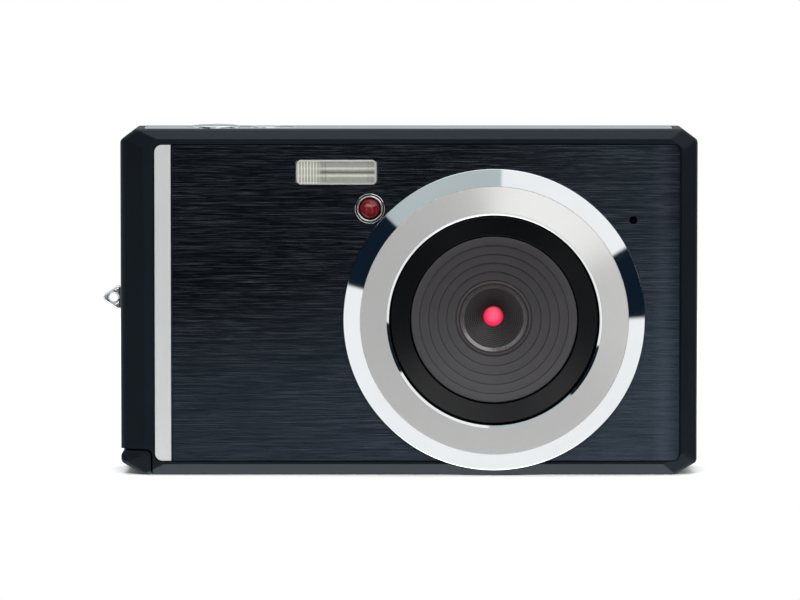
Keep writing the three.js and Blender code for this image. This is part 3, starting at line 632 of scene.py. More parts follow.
@dataclass(frozen=True)
class Moulding:
    """Moulded plastic: fine spark grain, slight cloudiness and a soft sheen."""

    name: str
    colour: Colour
    light: Colour
    roughness: Pair = (0.36, 0.48)
    grain: float = 0.11
    depth: float = 0.012
    specular: float = 0.5
    sheen: Colour = (1.0, 1.0, 1.0)

    def material(self) -> Material:
        """Base colour drifts between two tones; the same fine noise drives gloss and bump."""
        sketch = Sketch(
            self.name,
            self.colour,
            self.roughness[0],
            Specular_IOR_Level=self.specular,
            Specular_Tint=self.sheen,
        )
        cloud = sketch.spread(sketch.noise(14.0, detail=3), (0.35, 0.65))
        sketch.paint("Base Color", sketch.blend(cloud, self.colour, self.light))
        grain = sketch.noise(self.grain, detail=3, rough=0.6)
        sketch.paint("Roughness", sketch.spread(grain, (0.3, 0.7), self.roughness))
        sketch.bump(grain, self.depth)
        return sketch.material


@dataclass(frozen=True)
class BrushedPlate:
    """Dark metal film with long fine streaks along X, and painted reflection: lighter towards the
    bottom and the right end, darker at the top left.
    """

    name: str
    dark: Colour
    light: Colour
    streak: Colour
    roughness: Pair
    low: Pair
    high: Pair
    length: float = 10.0
    width: float = 0.12
    metallic: float = 0.85

    def material(self) -> Material:
        """Two stretched noises, long and short, make the streaks in colour, gloss and bump."""
        sketch = Sketch(self.name, self.dark, self.roughness[0], Metallic=self.metallic)
        long = sketch.noise((self.length, 40.0, self.width), detail=4, rough=0.66)
        short = sketch.noise((self.length * 0.3, 40.0, self.width * 0.7), detail=3, rough=0.6)
        mixed = sketch.sum(sketch.times(long, 0.6), sketch.times(short, 0.4))
        # Painted reflection and shade: the base colour is lighter towards the bottom and the right
        # end of the plate and darker at the top left.
        x, _, z = sketch.axes(sketch.place())
        across = sketch.spread(x, (self.high[0] * MM, self.low[0] * MM), smooth=True)
        rise = sketch.spread(z, (self.low[1] * MM, self.high[1] * MM), (0.0, 0.72), smooth=True)
        shade = sketch.sum(rise, sketch.times(across, 0.42))
        shade = sketch.sum(shade, sketch.times(rise, across, 0.5))
        ground = sketch.blend(sketch.spread(shade, (0.0, 1.0)), self.light, self.dark)
        ground = sketch.blend(sketch.spread(mixed, (0.5, 0.34), (0.0, 0.6)), ground, self.dark)
        glint = sketch.spread(mixed, (0.5, 0.72))
        sketch.paint("Base Color", sketch.blend(glint, ground, self.streak))
        sketch.paint("Roughness", sketch.spread(mixed, (0.3, 0.7), self.roughness))
        sketch.bump(mixed, 0.01)
        return sketch.material


@dataclass(frozen=True)
class Plating:
    """Bright or satin plated metal with faint unevenness."""

    name: str
    colour: Colour
    roughness: Pair
    grain: float | Sequence[float] = 0.6
    depth: float = 0.002
    metallic: float = 1.0

    def material(self) -> Material:
        """Noise at the grain's size varies the gloss and raises the surface a little."""
        sketch = Sketch(self.name, self.colour, self.roughness[0], Metallic=self.metallic)
        grain = sketch.noise(self.grain, detail=3)
        shade = tuple(value * 0.9 for value in self.colour)
        sketch.paint("Base Color", sketch.blend(grain, shade, self.colour))
        sketch.paint("Roughness", sketch.spread(grain, (0.3, 0.7), self.roughness))
        if self.depth:
            sketch.bump(grain, self.depth)
        return sketch.material


@dataclass(frozen=True)
class Clear:
    """Clear or tinted plastic and glass."""

    name: str
    colour: Colour
    roughness: float = 0.03
    ior: float = 1.49
    transmission: float = 1.0
    coat: float = 0.0
    cells: float = 0.0

    def material(self) -> Material:
        """A transmitting shader whose tint drifts slightly; cells are small moulded lenses."""
        sketch = Sketch(
            self.name,
            self.colour,
            self.roughness,
            IOR=self.ior,
            Transmission_Weight=self.transmission,
            Coat_Weight=self.coat,
            Coat_Roughness=0.03,
        )
        cloud = sketch.noise(1.5, detail=2)
        if self.cells:
            lenslets = sketch.node("TexVoronoi", feature="SMOOTH_F1")
            lenslets.inputs["Scale"].default_value = 1 / (self.cells * MM)
            sketch.feed(sketch.place(), lenslets.inputs["Vector"])
            cloud = lenslets.outputs["Distance"]
            sketch.bump(cloud, 0.08)
        shade = tuple(value * (0.45 if self.cells else 0.92) for value in self.colour)
        sketch.paint("Base Color", sketch.blend(cloud, shade, self.colour))
        return sketch.material


@dataclass(frozen=True)
class RibbedPane:
    """A moulded flash lens with painted light: shaded upright ribs at its left end, and painted
    bright and dark level bands over the rest where the trough and tube show through.
    """

    name: str
    dark: Colour
    light: Colour
    low: Pair
    high: Pair
    pitch: float

    def material(self) -> Material:
        """Tone is a mix of painted rib shading and painted light bands.

        The ribs' painted shading is |sin(pi * x / pitch)|, a little lighter towards the top. The
        bands are bright and dark windows over the height share, which runs from 0 at the low edge to
        1 at the high one; they are painted where the trough and tube show through.
        """
        sketch = Sketch(self.name, self.light, 0.16, Transmission_Weight=0.25, IOR=1.49)
        x, _, z = sketch.axes(sketch.place())
        along = sketch.spread(x, (self.low[0] * MM, self.high[0] * MM))
        share = sketch.spread(z, (self.low[1] * MM, self.high[1] * MM))
        wave = sketch.sum(sketch.sum(x, math.pi / (self.pitch * MM), "MULTIPLY"), 0.0, "SINE")
        ribs = sketch.sum(wave, 0.0, "ABSOLUTE")
        ends = sketch.sum(
            sketch.spread(along, (0.25, 0.36), (1.0, 0.0), smooth=True),
            sketch.spread(along, (0.9, 0.94), (0.0, 0.35), smooth=True),
        )
        # Painted reflection: bright and dark level bands where the trough and tube show through; the
        # dark sum also holds a thin dark upright line near the right end.
        bright = sketch.sum(
            sketch.window(share, 0.585, 0.64, 0.03), sketch.window(share, 0.37, 0.43, 0.03)
        )
        dark = sketch.sum(
            sketch.window(share, 0.47, 0.53, 0.025), sketch.window(along, 0.945, 0.96, 0.006)
        )
        faint = sketch.times(sketch.noise((0.5, 3.0, 0.16), detail=3), 0.2)
        painted_light_bands = sketch.sum(sketch.times(bright, 0.42), sketch.times(dark, -0.24))
        level = sketch.sum(sketch.sum(faint, 0.22), painted_light_bands)
        # Painted shading of the ribs, lighter towards the top and on the bright bands.
        upright = sketch.sum(sketch.times(ribs, 0.62), sketch.times(share, 0.12))
        upright = sketch.sum(sketch.sum(upright, 0.16), sketch.times(bright, 0.12))
        mixer = sketch.node("Mix", data_type="FLOAT")
        for index, value in ((0, ends), (2, level), (3, upright)):
            sketch.feed(value, mixer.inputs[index])
        tone = mixer.outputs[0]
        sketch.paint("Base Color", sketch.blend(tone, self.dark, self.light))
        sketch.bump(sketch.times(ribs, ends), 0.05)
        return sketch.material


@dataclass(frozen=True)
class CoatingWithPaintedGlow:
    """Painted reflection of a coloured interference coating, brighter in the middle and deeper at
    its rim, which also glows as painted light.
    """

    name: str
    centre: Colour
    rim: Colour
    radius: float
    place: Pair

    def material(self) -> Material:
        """The painted reflection colour runs from the centre to the rim with the distance from the
        lens axis, and the same colour is emitted as a painted glow.
        """
        # Emission makes the coating glow though it is no lamp: painted light.
        sketch = Sketch(self.name, self.centre, 0.35, Coat_Weight=0.4, Emission_Strength=0.5)
        x, _, z = sketch.axes(sketch.place())
        across = sketch.sum(x, -self.place[0] * MM)
        upward = sketch.sum(z, -self.place[1] * MM)
        square = sketch.sum(sketch.times(across, across), sketch.times(upward, upward))
        distance = sketch.sum(square, 0.5, "POWER")
        share = sketch.spread(distance, (0.0, self.radius * MM), smooth=True)
        colour = sketch.blend(share, self.centre, self.rim)
        sketch.paint("Base Color", colour)
        sketch.paint("Emission Color", colour)
        return sketch.material


@dataclass(frozen=True)
class Display:
    """A black window with a slightly lighter picture area under its gloss."""

    name: str
    low: Pair
    high: Pair

    def material(self) -> Material:
        """The picture area is where X and Z both lie inside its edges."""
        sketch = Sketch(self.name, tint(6, 7, 9), 0.06, Specular_IOR_Level=0.35)
        x, _, z = sketch.axes(sketch.place())
        edge = 0.05 * MM
        mask = sketch.times(
            sketch.window(x, self.low[0] * MM, self.high[0] * MM, edge),
            sketch.window(z, self.low[1] * MM, self.high[1] * MM, edge),
        )
        panel = sketch.blend(sketch.noise(9.0), tint(24, 28, 34), tint(32, 36, 42))
        sketch.paint("Base Color", sketch.blend(mask, tint(5, 6, 8), panel))
        return sketch.material


@dataclass(frozen=True)
class CircuitBoard:
    """Solder mask with copper tracks under it."""

    name: str = "circuit_board"

    def material(self) -> Material:
        """Tracks are the thin bands of a cell pattern, lighter than the mask."""
        sketch = Sketch(self.name, tint(14, 66, 40), 0.35)
        cells = sketch.node("TexVoronoi", feature="DISTANCE_TO_EDGE")
        cells.inputs["Scale"].default_value = 420.0
        sketch.feed(sketch.place(), cells.inputs["Vector"])
        track = sketch.spread(cells.outputs["Distance"], (0.03, 0.06), (1.0, 0.0))
        sketch.paint("Base Color", sketch.blend(track, tint(12, 58, 36), tint(44, 112, 70)))
        sketch.bump(track, 0.03)
        return sketch.material


class Palette:
    """Every finish of the camera, made once."""

    def __init__(self, margin: float = 1.6) -> None:
        """Builds the materials. The margin is the display's, round its picture area."""
        boxes = (Span.of(node) for node in ("face_plate", "flash_window", "lcd_panel"))
        plate, flash, screen = boxes
        lens = Span.of("lens_trim_ring").at(Facing.FRONT)
        fine, long = (0.07, 0.07, 0.5), (0.08, 0.08, 2.0)
        finishes = {
            "shell": Moulding(
                "shell_moulding",
                tint(10, 14, 19),
                tint(13, 18, 23),
                specular=0.2,
                sheen=(0.66, 0.85, 1.0),
            ),
            "plate": BrushedPlate(
                "brushed_dark_plate",
                dark=tint(13, 17, 23),
                # light is the painted reflection tone at the bottom and right of the plate; low and
                # high bound that painted gradient.
                light=tint(72, 84, 98),
                streak=tint(92, 102, 114),
                roughness=(0.17, 0.28),
                low=plate.low[::2],
                high=plate.high[::2],
            ),
            "strip": Plating(
                "satin_silver_strip", tint(210, 212, 212), (0.42, 0.5), long, 0.003, metallic=0.4
            ),
            "chrome": Plating("bright_chrome", tint(240, 243, 245), (0.03, 0.06), 6.0, 0.0),
            "satin": Plating(
                "satin_ring_face", tint(208, 208, 207), (0.1, 0.13), fine, 0.0, metallic=0.5
            ),
            "trim": Plating("bright_trim", tint(214, 220, 222), (0.07, 0.12), 2.0, 0.0),
            "keys": Plating("satin_keys", tint(176, 180, 184), (0.24, 0.32), 0.12, 0.0),
            "steel": Plating("plated_steel", tint(168, 170, 172), (0.2, 0.32), 0.4, 0.004),
            "brass": Plating("contact_brass", tint(205, 172, 96), (0.2, 0.3), 0.4, 0.003),
            "mirror": Plating(
                "reflector_foil", tint(240, 240, 232), (0.2, 0.26), 1.2, 0.0, metallic=0.6
            ),
            "gloss": Moulding(
                "gloss_black", tint(4, 5, 7), tint(5, 6, 9), (0.26, 0.32), 0.11, 0.002, 0.32
            ),
            "hood": Moulding(
                "hood_grey", tint(50, 48, 50), tint(55, 53, 55), (0.42, 0.52), 0.16, 0.008, 0.7
            ),
            "lip": Plating("barrel_lip", tint(150, 149, 150), (0.2, 0.26), 0.4, 0.0, metallic=0.8),
            "barrel": Moulding(
                "barrel_black", tint(56, 55, 56), tint(62, 61, 62), (0.34, 0.4), 0.14, 0.003, 0.8
            ),
            # The flash pane's base colour is painted light: rib shading and reflection bands run
            # between dark and light.
            "window": RibbedPane(
                "flash_ribbed_pane",
                dark=tint(84, 87, 84),
                light=tint(246, 246, 232),
                low=flash.low[::2],
                high=flash.high[::2],
                pitch=0.46,
            ),
            "frosted": Clear("frosted_clear", (0.6, 0.61, 0.58), 0.3, transmission=0.35),
            "glass": Clear("optical_glass", (0.97, 0.98, 1.0), 0.01, 1.52, coat=0.3),
            "diode": Clear("diode_clear", (0.95, 0.96, 0.93), 0.12),
            "lamp": Clear("lamp_red", tint(150, 26, 26), 0.08, 1.49, 0.35, 0.6, 0.55),
            # The pupil's colour is a painted reflection of the coating, and it glows as painted
            # light.
            "coating": CoatingWithPaintedGlow("filter_coating_painted_glow", tint(255, 90, 130), tint(240, 24, 70), 1.6, lens),
            "display": Display(
                "display_window", screen.low[::2] + margin, screen.high[::2] - margin
            ),
            "board": CircuitBoard(),
            "component": Moulding("dark_component", tint(34, 34, 36), tint(40, 40, 42)),
            "battery": Moulding("battery_wrap", tint(96, 108, 120), tint(106, 118, 130)),
            "card": Moulding("card_blue", tint(36, 76, 150), tint(42, 84, 160), (0.3, 0.4)),
            "rubber": Moulding("soft_rubber", tint(36, 37, 40), tint(44, 45, 48), (0.7, 0.85)),
            "cloth": Moulding("dust_cloth", tint(8, 8, 9), tint(12, 12, 13), (0.8, 0.95), 0.2),
            "print": Moulding("printed_grey", tint(48, 50, 54), tint(56, 58, 62)),
        }
        self.materials = {key: finish.material() for key, finish in finishes.items()}

    def __getitem__(self, key: str) -> Material:
        """The material of one finish."""
        return self.materials[key]


# ---------------------------------------------------------------- what several assemblies share


FAR = 60.0  # past every side of the camera
PAST = 1.0  # how far a cutter reaches past a face
BEHIND = 5.0  # a depth inside the casing, behind both of its walls

BASE_SCREWS = ("base_screw_1", "base_screw_2")
SIDE_SCREWS = ("side_screw_1", "side_screw_2")
TRIM_SIDES = {"top_trim": Facing.TOP, "left_trim": Facing.LEFT, "right_trim": Facing.RIGHT}
TOP_BUTTON_HOLES = {"shutter_button": 4.0, "power_button": 2.7}
ROUND_KEYS = {
    "menu_button": "menu_key",
    "mode_button": "mode_key",
    "playback_button": "playback_key",
    "delete_button": "delete_key",
}


@dataclass
class Assembly:
    """A sub-assembly, which dresses its pieces from the palette."""

    palette: Palette

    def dress(
        self,
        piece: Piece,
        finish: str | Sequence[str],
        slot: str,
        node: str = "",
        body: str = "casing",
        sharp: float = 32.0,
    ) -> None:
        """Turns a piece into metres, shades it, gives it its finish and joins it to its body.

        Args:
            piece: The piece, still in millimetres.
            finish: The palette's finish, or one for each of its slots.
            slot: The record's material slot; not used.
            node: The CAD node that it stands for, if any.
            body: The body that it rides on.
            sharp: The angle in degrees past which an edge stays sharp.
        """
        mesh = piece.data
        mesh.transform(Matrix.Scale(MM, 4))
        slots = np.zeros(len(mesh.polygons), np.int32)
        mesh.polygons.foreach_get("material_index", slots)
        mesh.materials.clear()
        for key in (finish,) if isinstance(finish, str) else finish:
            mesh.materials.append(self.palette[key])
        mesh.polygons.foreach_set("material_index", slots)
        mesh.shade_smooth()
        mesh.set_sharp_from_angle(angle=math.radians(sharp))
        weighted = piece.modifiers.new("weighted", "WEIGHTED_NORMAL")
        weighted.keep_sharp = True
        weighted.weight = 90
        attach(piece, body)
        if node:
            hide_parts(node)
        LOG.info("%s: %d faces, rides on %s", piece.name, len(mesh.polygons), body)


@dataclass(frozen=True)
class FrontHoles:
    """The holes that go through both the front cover and the face plate."""

    flash: Pair = (6.45, 2.1)
    flash_corner: float = 0.8
    lens: float = 17.8

    def tools(
        self, profile: Array, lamp_play: float, microphone: float, steps: Sequence[int]
    ) -> list[Piece]:
        """Cutters for the flash, the lens, the lamp and the microphone.

        Args:
            profile: The profile that all four are carried along.
            lamp_play: The room round the lamp's bezel.
            microphone: The radius of the microphone's hole.
            steps: How many sides the lens's, the lamp's and the microphone's holes have.
        """
        front = Facing.FRONT
        window = around(Span.of("flash_window").at(front), self.flash, self.flash_corner)
        radii = {
            "lens_trim_ring": self.lens,
            "timer_lamp_bezel": Span.of("timer_lamp_bezel").radius + lamp_play,
            "microphone": microphone,
        }
        discs = [
            Disc(Span.of(node).at(front), radius, count)
            for (node, radius), count in zip(radii.items(), steps)
        ]
        return [tool(front, outline, profile) for outline in (window, *discs)]


def eyelet_slot() -> Piece:
    """The cutter of the slot that the eyelet's tang passes through."""
    middle = float(Span.of("strap_eyelet").centre[2])
    half_depth, half_height, inner_end = 1.25, 1.65, -41
    return box_tool(
        (-FAR, -half_depth, middle - half_height), (inner_end, half_depth, middle + half_height)
    )


# ---------------------------------------------------------------- casing


@dataclass(frozen=True)
class Bevel:
    """Widths of the casing's sloped edge on each side."""

    left: float
    right: float
    top: float
    bottom: float


@dataclass
class Casing(Assembly):
    """Front cover, middle frame, back cover and battery door, all cut from one outer form."""

    wall: float = 2.35
    front_wall: float = 1.6
    back_wall: float = 1.4
    frame_wall: float = 1.6
    seam: float = 6.0
    gap: float = 0.3
    lip: Pair = (1.75, 5.2)
    edge: float = 0.12
    slope_depth: float = 1.6
    slope_scale: float = 2.2
    top_cut: Pair = (2.3, 1.7)
    bottom_cut: Pair = (3.4, 2.0)
    corner_round: float = 0.9
    front_bevel: Bevel = Bevel(3.7, 2.1, 1.5, 1.8)
    back_bevel: Bevel = Bevel(2.2, 2.2, 1.5, 1.8)
    seat_corner: float = 1.3
    plate_recess: float = 0.6
    plate_fit: float = 0.15
    screen_ledge: float = 1.4
    key_overlap: float = 0.4
    pad_play: float = 0.4
    lamp_play: float = 0.12
    rocker_slot: Pair = (0.3, 2.8)
    speaker_pitch: float = 1.8
    speaker_hole: float = 0.5
    screw_head: float = 1.65
    screw_shank: float = 0.85
    door_corner: Pair = (-40.55, 3.85)
    door_right: float = -9.1
    door_thickness: float = 1.4
    door_half_depth: float = 5.5
    hinge: Pair = (-44.25, 2.95)
    knuckle: float = 0.95
    ear: float = 0.72
    ears: Pair = (2.4, 3.6)
    ear_notch: float = 0.92
    ear_notches: Pair = (2.15, 3.85)
    pin_hole: float = 0.45

    def __post_init__(self) -> None:
        """Takes the outer size from the covers' boxes."""
        cover = Span.of("front_cover")
        self.half_width = float(cover.high[0])
        self.height = float(cover.high[2])
        self.face = float(-cover.low[1])
        x, z = self.half_width, self.height
        (tx, tz), (bx, bz) = self.top_cut, self.bottom_cut
        right = [(x - bx, 0), (x, bz), (x, z - tz), (x - tx, z)]
        left = [(-across, up) for across, up in reversed(right)]
        self.outline = Outline((*right, *left), self.corner_round, steps=10)

    def rows(self, spec: Array, bevel: Bevel) -> Array:
        """Rows of the outer form.

        A row is the outline at its inset, pulled towards the middle on each side by the share of
        the bevel's width that it lacks: x * (1 - (1 - share) * width / half width), and z likewise.

        Args:
            spec: Rows of (inset, share, height out).
            bevel: The widths of the sloped edge.

        Returns:
            Points (across, up, out), of shape (m, n, 3).
        """
        inset, share, height = np.asarray(spec, float).T
        loops = self.outline.at(inset)
        middle = self.height / 2
        x, z = loops[..., 0], loops[..., 1] - middle
        lack = (1 - share)[:, None]
        sideways = np.where(x < 0, bevel.left, bevel.right) / self.half_width
        upright = np.where(z < 0, bevel.bottom, bevel.top) / middle
        out = np.broadcast_to(height[:, None], x.shape)
        return np.stack(
            [x * (1 - lack * sideways), middle + z * (1 - lack * upright), out], axis=-1
        )

    def slope(self, start: float) -> Array:
        """The sloped edge from the side wall to the face, as rows of (inset, share, height).

        It is a straight slope with a soft turn at the side and a crisp one at the face, worked out
        on a bevel of a middling width.
        """
        scale, soft, crisp, over = self.slope_scale, 1.1, 0.16, 0.6
        face = self.face
        corners = [(scale, start), (scale, face - self.slope_depth), (0, face), (-over, face)]
        path = rounded_path(corners, (soft, crisp), steps=8)
        path = path[path[:, 0] >= -self.edge]
        share = np.clip(path[:, 0] / scale, -0.05, 1)
        return np.column_stack([np.zeros(len(path)), share, path[:, 1]])

    def shell(self, name: str, facing: Facing, bevel: Bevel, wall: float) -> Piece:
        """One cover: a closed pan with its locating lip."""
        rim, edge = self.seam + self.gap / 2, self.edge
        lip_inset, lip_end = self.lip
        inner = [
            (self.wall, 1, self.face - wall),
            (self.wall, 1, lip_end),
            (lip_inset, 1, lip_end),
            (lip_inset, 1, rim),
            (edge, 1, rim),
            (edge * 0.3, 1, rim + edge * 0.3),
        ]
        rows = self.rows(np.concatenate([inner, self.slope(rim + edge)]), bevel)
        surface = Surface(facing).grid(rows)
        surface.cap(rows[0, :, :2], self.face - wall).cap(rows[-1, :, :2], self.face)
        return surface.build(name)

    def corner_tool(self, grow: float) -> Piece:
        """The door's corner of the casing, right through its depth, with one soft corner."""
        x, z = self.door_corner
        outline = rectangle((-FAR, -FAR), (x + grow, z + grow), (0.1, 0.1, 0.75 + grow, 0.1))
        return tool(Facing.FRONT, outline, straight(-FAR, FAR))

    def door_room(self, front: float, back: float) -> Piece:
        """The room for the door's leaf, between two depths."""
        high = (self.door_right + self.gap, back, self.door_corner[1] + self.gap)
        return box_tool((-FAR, front, -FAR), high)

    def front(self) -> None:
        """The front cover, with the plate's recess and the holes behind it."""
        cover = self.shell("front_cover_shell", Facing.FRONT, self.front_bevel, self.front_wall)
        strip, plate = Span.of("accent_strip"), Span.of("face_plate")
        fit, crest = self.plate_fit, 0.16
        recess = rectangle(
            (strip.low[0] - fit, plate.low[2] - fit),
            (plate.high[0] + fit, plate.high[2] + fit),
            self.seat_corner,
        )
        seat = flare_profile(self.face - self.plate_recess, self.face, crest)
        through = straight(BEHIND, self.face + PAST)
        tools = [
            tool(Facing.FRONT, recess, seat),
            self.corner_tool(self.gap),
            self.door_room(-6.1, -4),
            *FrontHoles().tools(through, fit, 0.65, (64, 64, 64)),
        ]
        carve(cover, tools)
        self.dress(cover, "shell", "shell", "front_cover")

    def back(self) -> None:
        """The back cover, with the screen's seat and the holes of the controls."""
        back, face = Facing.BACK, self.face
        cover = self.shell("back_cover_shell", back, self.back_bevel, self.back_wall)
        glass = Span.of("screen_window")
        seat = glass.outline(back, self.seat_corner, self.plate_fit)
        opening = glass.outline(back, 1.0, -self.screen_ledge)
        tools = [
            self.corner_tool(self.gap),
            self.door_room(4, 6.1),
            tool(back, seat, flare_profile(glass.low[1] - 0.1, face, 0.1)),
            tool(back, opening, straight(BEHIND, face + PAST)),
        ]
        hole = flare_profile(BEHIND, face, 0.18)
        plays = dict.fromkeys(ROUND_KEYS, -self.key_overlap)
        plays |= {"navigation_ring": self.pad_play, "status_lamp": self.lamp_play}
        for node, play in plays.items():
            span = Span.of(node)
            tools.append(tool(back, Disc(span.at(back), span.radius + play, 72), hole))
        rocker, (play, tall) = Span.of("zoom_rocker"), self.rocker_slot
        slot = around(rocker.at(back), (rocker.radius + play, tall), tall - 0.01, steps=16)
        tools.append(tool(back, slot, hole))
        x, z = Span.of("speaker").at(back)
        small = flare_profile(BEHIND, face, 0.12)
        for step in range(-2, 3):
            disc = Disc((x + self.speaker_pitch * step, z), self.speaker_hole, 24)
            tools.append(tool(back, disc, small))
        carve(cover, tools)
        self.dress(cover, "shell", "shell", "back_cover")

    def middle(self) -> None:
        """The band between the covers, with the seats of its trims and the holes of its base."""
        half, edge = self.seam - self.gap / 2, self.edge
        small = edge * 0.3
        side = [(self.frame_wall, half), (edge, half), (small, half - small), (0, half - edge)]
        spec = [(inset, 1, -height) for inset, height in side]
        spec += [(inset, 1, height) for inset, height in reversed(side)]
        frame = Surface().grid(self.rows(np.array(spec), self.front_bevel), ring=True)
        frame = frame.build("middle_frame_band")
        bosses = []
        for node in BASE_SCREWS:
            disc = Disc(Span.of(node).at(Facing.TOP), 2.4, 40)
            bosses.append(tool(Facing.TOP, disc, straight(1, 7.4)))
        for node in SIDE_SCREWS:
            span = Span.of(node)
            disc = Disc(span.at(Facing.RIGHT), 2.2, 40)
            bosses.append(tool(Facing.RIGHT, disc, straight(span.low[0] - 0.5, 44.2)))
        carve(frame, bosses, Cut.JOIN)
        carve(frame, self.middle_tools())
        carve(frame, self.hinge_ears(), Cut.JOIN)
        self.dress(frame, "shell", "shell", "middle_frame")

    def middle_tools(self) -> list[Piece]:
        """The cutters of the middle frame."""
        fit, under = self.plate_fit, Facing.UNDER
        tools = [self.corner_tool(self.gap), self.door_room(-FAR, FAR), eyelet_slot()]
        for node, facing in TRIM_SIDES.items():
            span = Span.of(node)
            seat = span.reach(facing)[0] - fit
            tools.append(tool(facing, span.outline(facing, 1.4, fit), straight(seat, FAR)))
        bush = Span.of("tripod_bush")
        disc = Disc(bush.at(under), bush.radius + fit)
        tools.append(tool(under, disc, flare_profile(-4, 0, 0.15)))
        for node in BASE_SCREWS:
            at = Span.of(node).at(under)
            tools.append(tool(under, Disc(at, self.screw_head, 40), flare_profile(-1.25, 0, 0.12)))
            tools.append(tool(under, Disc(at, self.screw_shank, 24), straight(-6.7, PAST)))
        for node, radius in TOP_BUTTON_HOLES.items():
            disc = Disc(Span.of(node).at(Facing.TOP), radius)
            tools.append(tool(Facing.TOP, disc, straight(50, FAR)))
        for node in SIDE_SCREWS:
            disc = Disc(Span.of(node).at(Facing.RIGHT), self.screw_shank, 24)
            tools.append(tool(Facing.RIGHT, disc, straight(39, 50)))
        socket = Span.of("usb_socket").outline(Facing.RIGHT, 0.8, 0.25)
        tools.append(tool(Facing.RIGHT, socket, straight(30, FAR)))
        return tools

    def hinge_ears(self) -> list[Piece]:
        """Two ears under the left wall, which hold the door's pin."""
        x, z = self.hinge
        near, far = self.ears
        top = self.door_corner[1] + self.gap + 0.5
        tools = []
        for low, high in ((-far, -near), (near, far)):
            tools.append(tool(Facing.BACK, Disc((x, z), self.ear, 32), straight(low, high)))
            tools.append(box_tool((x - self.ear, low, z), (x + self.ear, high, top)))
        return tools

    def door(self) -> None:
        """The battery door: its corner of the casing, its leaf, knuckle and finger notch."""
        spec = self.slope(0)
        front = self.rows(spec, self.front_bevel)
        back = self.rows(spec, self.back_bevel)[::-1].copy()
        back[..., 2] *= -1
        rows = np.concatenate([back, front])
        surface = Surface().grid(rows)
        surface.cap(rows[0, :, :2], -self.face).cap(rows[-1, :, :2], self.face)
        door = surface.build("battery_door_leaf")
        carve(door, [self.corner_tool(0.0)], Cut.KEEP)
        x, z = self.hinge
        carve(door, [box_tool((-FAR, -FAR, z), (x, FAR, FAR))])
        length = self.face - 1.2
        profile = edge_profile(-length, length, 0.2, 0.2)
        rod = tool(Facing.FRONT, Disc((x, z), self.knuckle, 40), profile)
        right, depth = float(Span.of("battery_door").high[0]), self.door_half_depth
        leaf = rectangle((-42, -depth), (right, depth), (0.1, 0.5, 0.5, 0.1))
        plate = tool(Facing.UNDER, leaf, edge_profile(-self.door_thickness, 0, 0.1))
        rib = box_tool((-39, -4.4, self.door_thickness - 0.2), (-13, -1.4, 3.95))
        carve(door, [rod, plate, rib], Cut.JOIN)
        carve(door, self.door_tools())
        self.dress(door, "shell", "shell", "battery_door", "battery_door")

    def door_tools(self) -> list[Piece]:
        """The finger notch, and the notches of the hinge ears and pin."""
        x, z = self.hinge
        right = float(Span.of("battery_door").high[0])
        notch = rectangle((right - 9, -2.4), (right + 2, 2.4), 2.3)
        scoop = [(0.9, -0.55), (0.45, -0.42), (0.12, -0.18), (0, 0.0), (-0.3, 1.0)]
        tools = [tool(Facing.UNDER, notch, scoop)]
        near, far = self.ear_notches
        room = self.ear_notch
        for low, high in ((-far, -near), (near, far)):
            tools.append(tool(Facing.BACK, Disc((x, z), room, 40), straight(low, high)))
            tools.append(box_tool((-FAR, low, z - 0.02), (x + room, high, FAR)))
            tools.append(box_tool((-FAR, low, z - room), (x, high, FAR)))
        tools.append(tool(Facing.BACK, Disc((x, z), self.pin_hole, 24), straight(-4.6, 4.6)))
        return tools

    def build(self) -> None:
        """Makes the four pieces."""
        self.front()
        self.middle()
        self.back()
        self.door()


# ---------------------------------------------------------------- front plate


@dataclass
class FrontPlate(Assembly):
    """The brushed plate and the silver strip beside it."""

    corner: float = 1.15
    edge: float = 0.08
    hole_edge: float = 0.05
    roll_start: float = 38.0
    roll_drop: float = 0.36
    roll_steps: int = 18

    def slab(self, node: str, radii: Sequence[float]) -> Piece:
        """A thin plate with the node's own box and rounded front edges."""
        span = Span.of(node)
        profile = edge_profile(*span.reach(Facing.FRONT), self.edge)
        return Surface().block(span.outline(Facing.FRONT, radii), profile).build(f"{node}_sheet")

    def roll_off(self, sheet: Piece) -> None:
        """Lets the front face fall away towards the right end.

        The drop is roll_drop * s * s, where s runs from 0 at roll_start to 1 at the plate's end.
        """
        span = Span.of("face_plate")
        end = float(span.high[0])
        work = bmesh.new()
        work.from_mesh(sheet.data)
        for x in np.linspace(self.roll_start, end, self.roll_steps)[:-1]:
            everything = [*work.verts, *work.edges, *work.faces]
            bmesh.ops.bisect_plane(
                work, geom=everything, plane_co=(float(x), 0, 0), plane_no=(1, 0, 0), dist=1e-4
            )
        work.to_mesh(sheet.data)
        work.free()
        points = np.empty(len(sheet.data.vertices) * 3)
        sheet.data.vertices.foreach_get("co", points)
        points = points.reshape(-1, 3)
        share = np.clip((points[:, 0] - self.roll_start) / (end - self.roll_start), 0, 1)
        front = points[:, 1] < span.centre[1]
        points[:, 1] += np.where(front, self.roll_drop * share**2, 0.0)
        sheet.data.vertices.foreach_set("co", points.ravel())
        sheet.data.update()

    def build(self) -> None:
        """Makes the plate and the strip."""
        corner, square = self.corner, 0.05
        sheet = self.slab("face_plate", (square, corner, corner, square))
        foot, face = Span.of("face_plate").reach(Facing.FRONT)
        cut = flare_profile(foot - 0.5, face, self.hole_edge)
        carve(sheet, FrontHoles().tools(cut, 0.1, 0.62, (96, 64, 32)))
        self.roll_off(sheet)
        self.dress(sheet, "plate", "dark_plate", "face_plate")
        strip = self.slab("accent_strip", (corner, square, square, corner))
        self.dress(strip, "strip", "silver_strip", "accent_strip")


# ---------------------------------------------------------------- flash and lamp


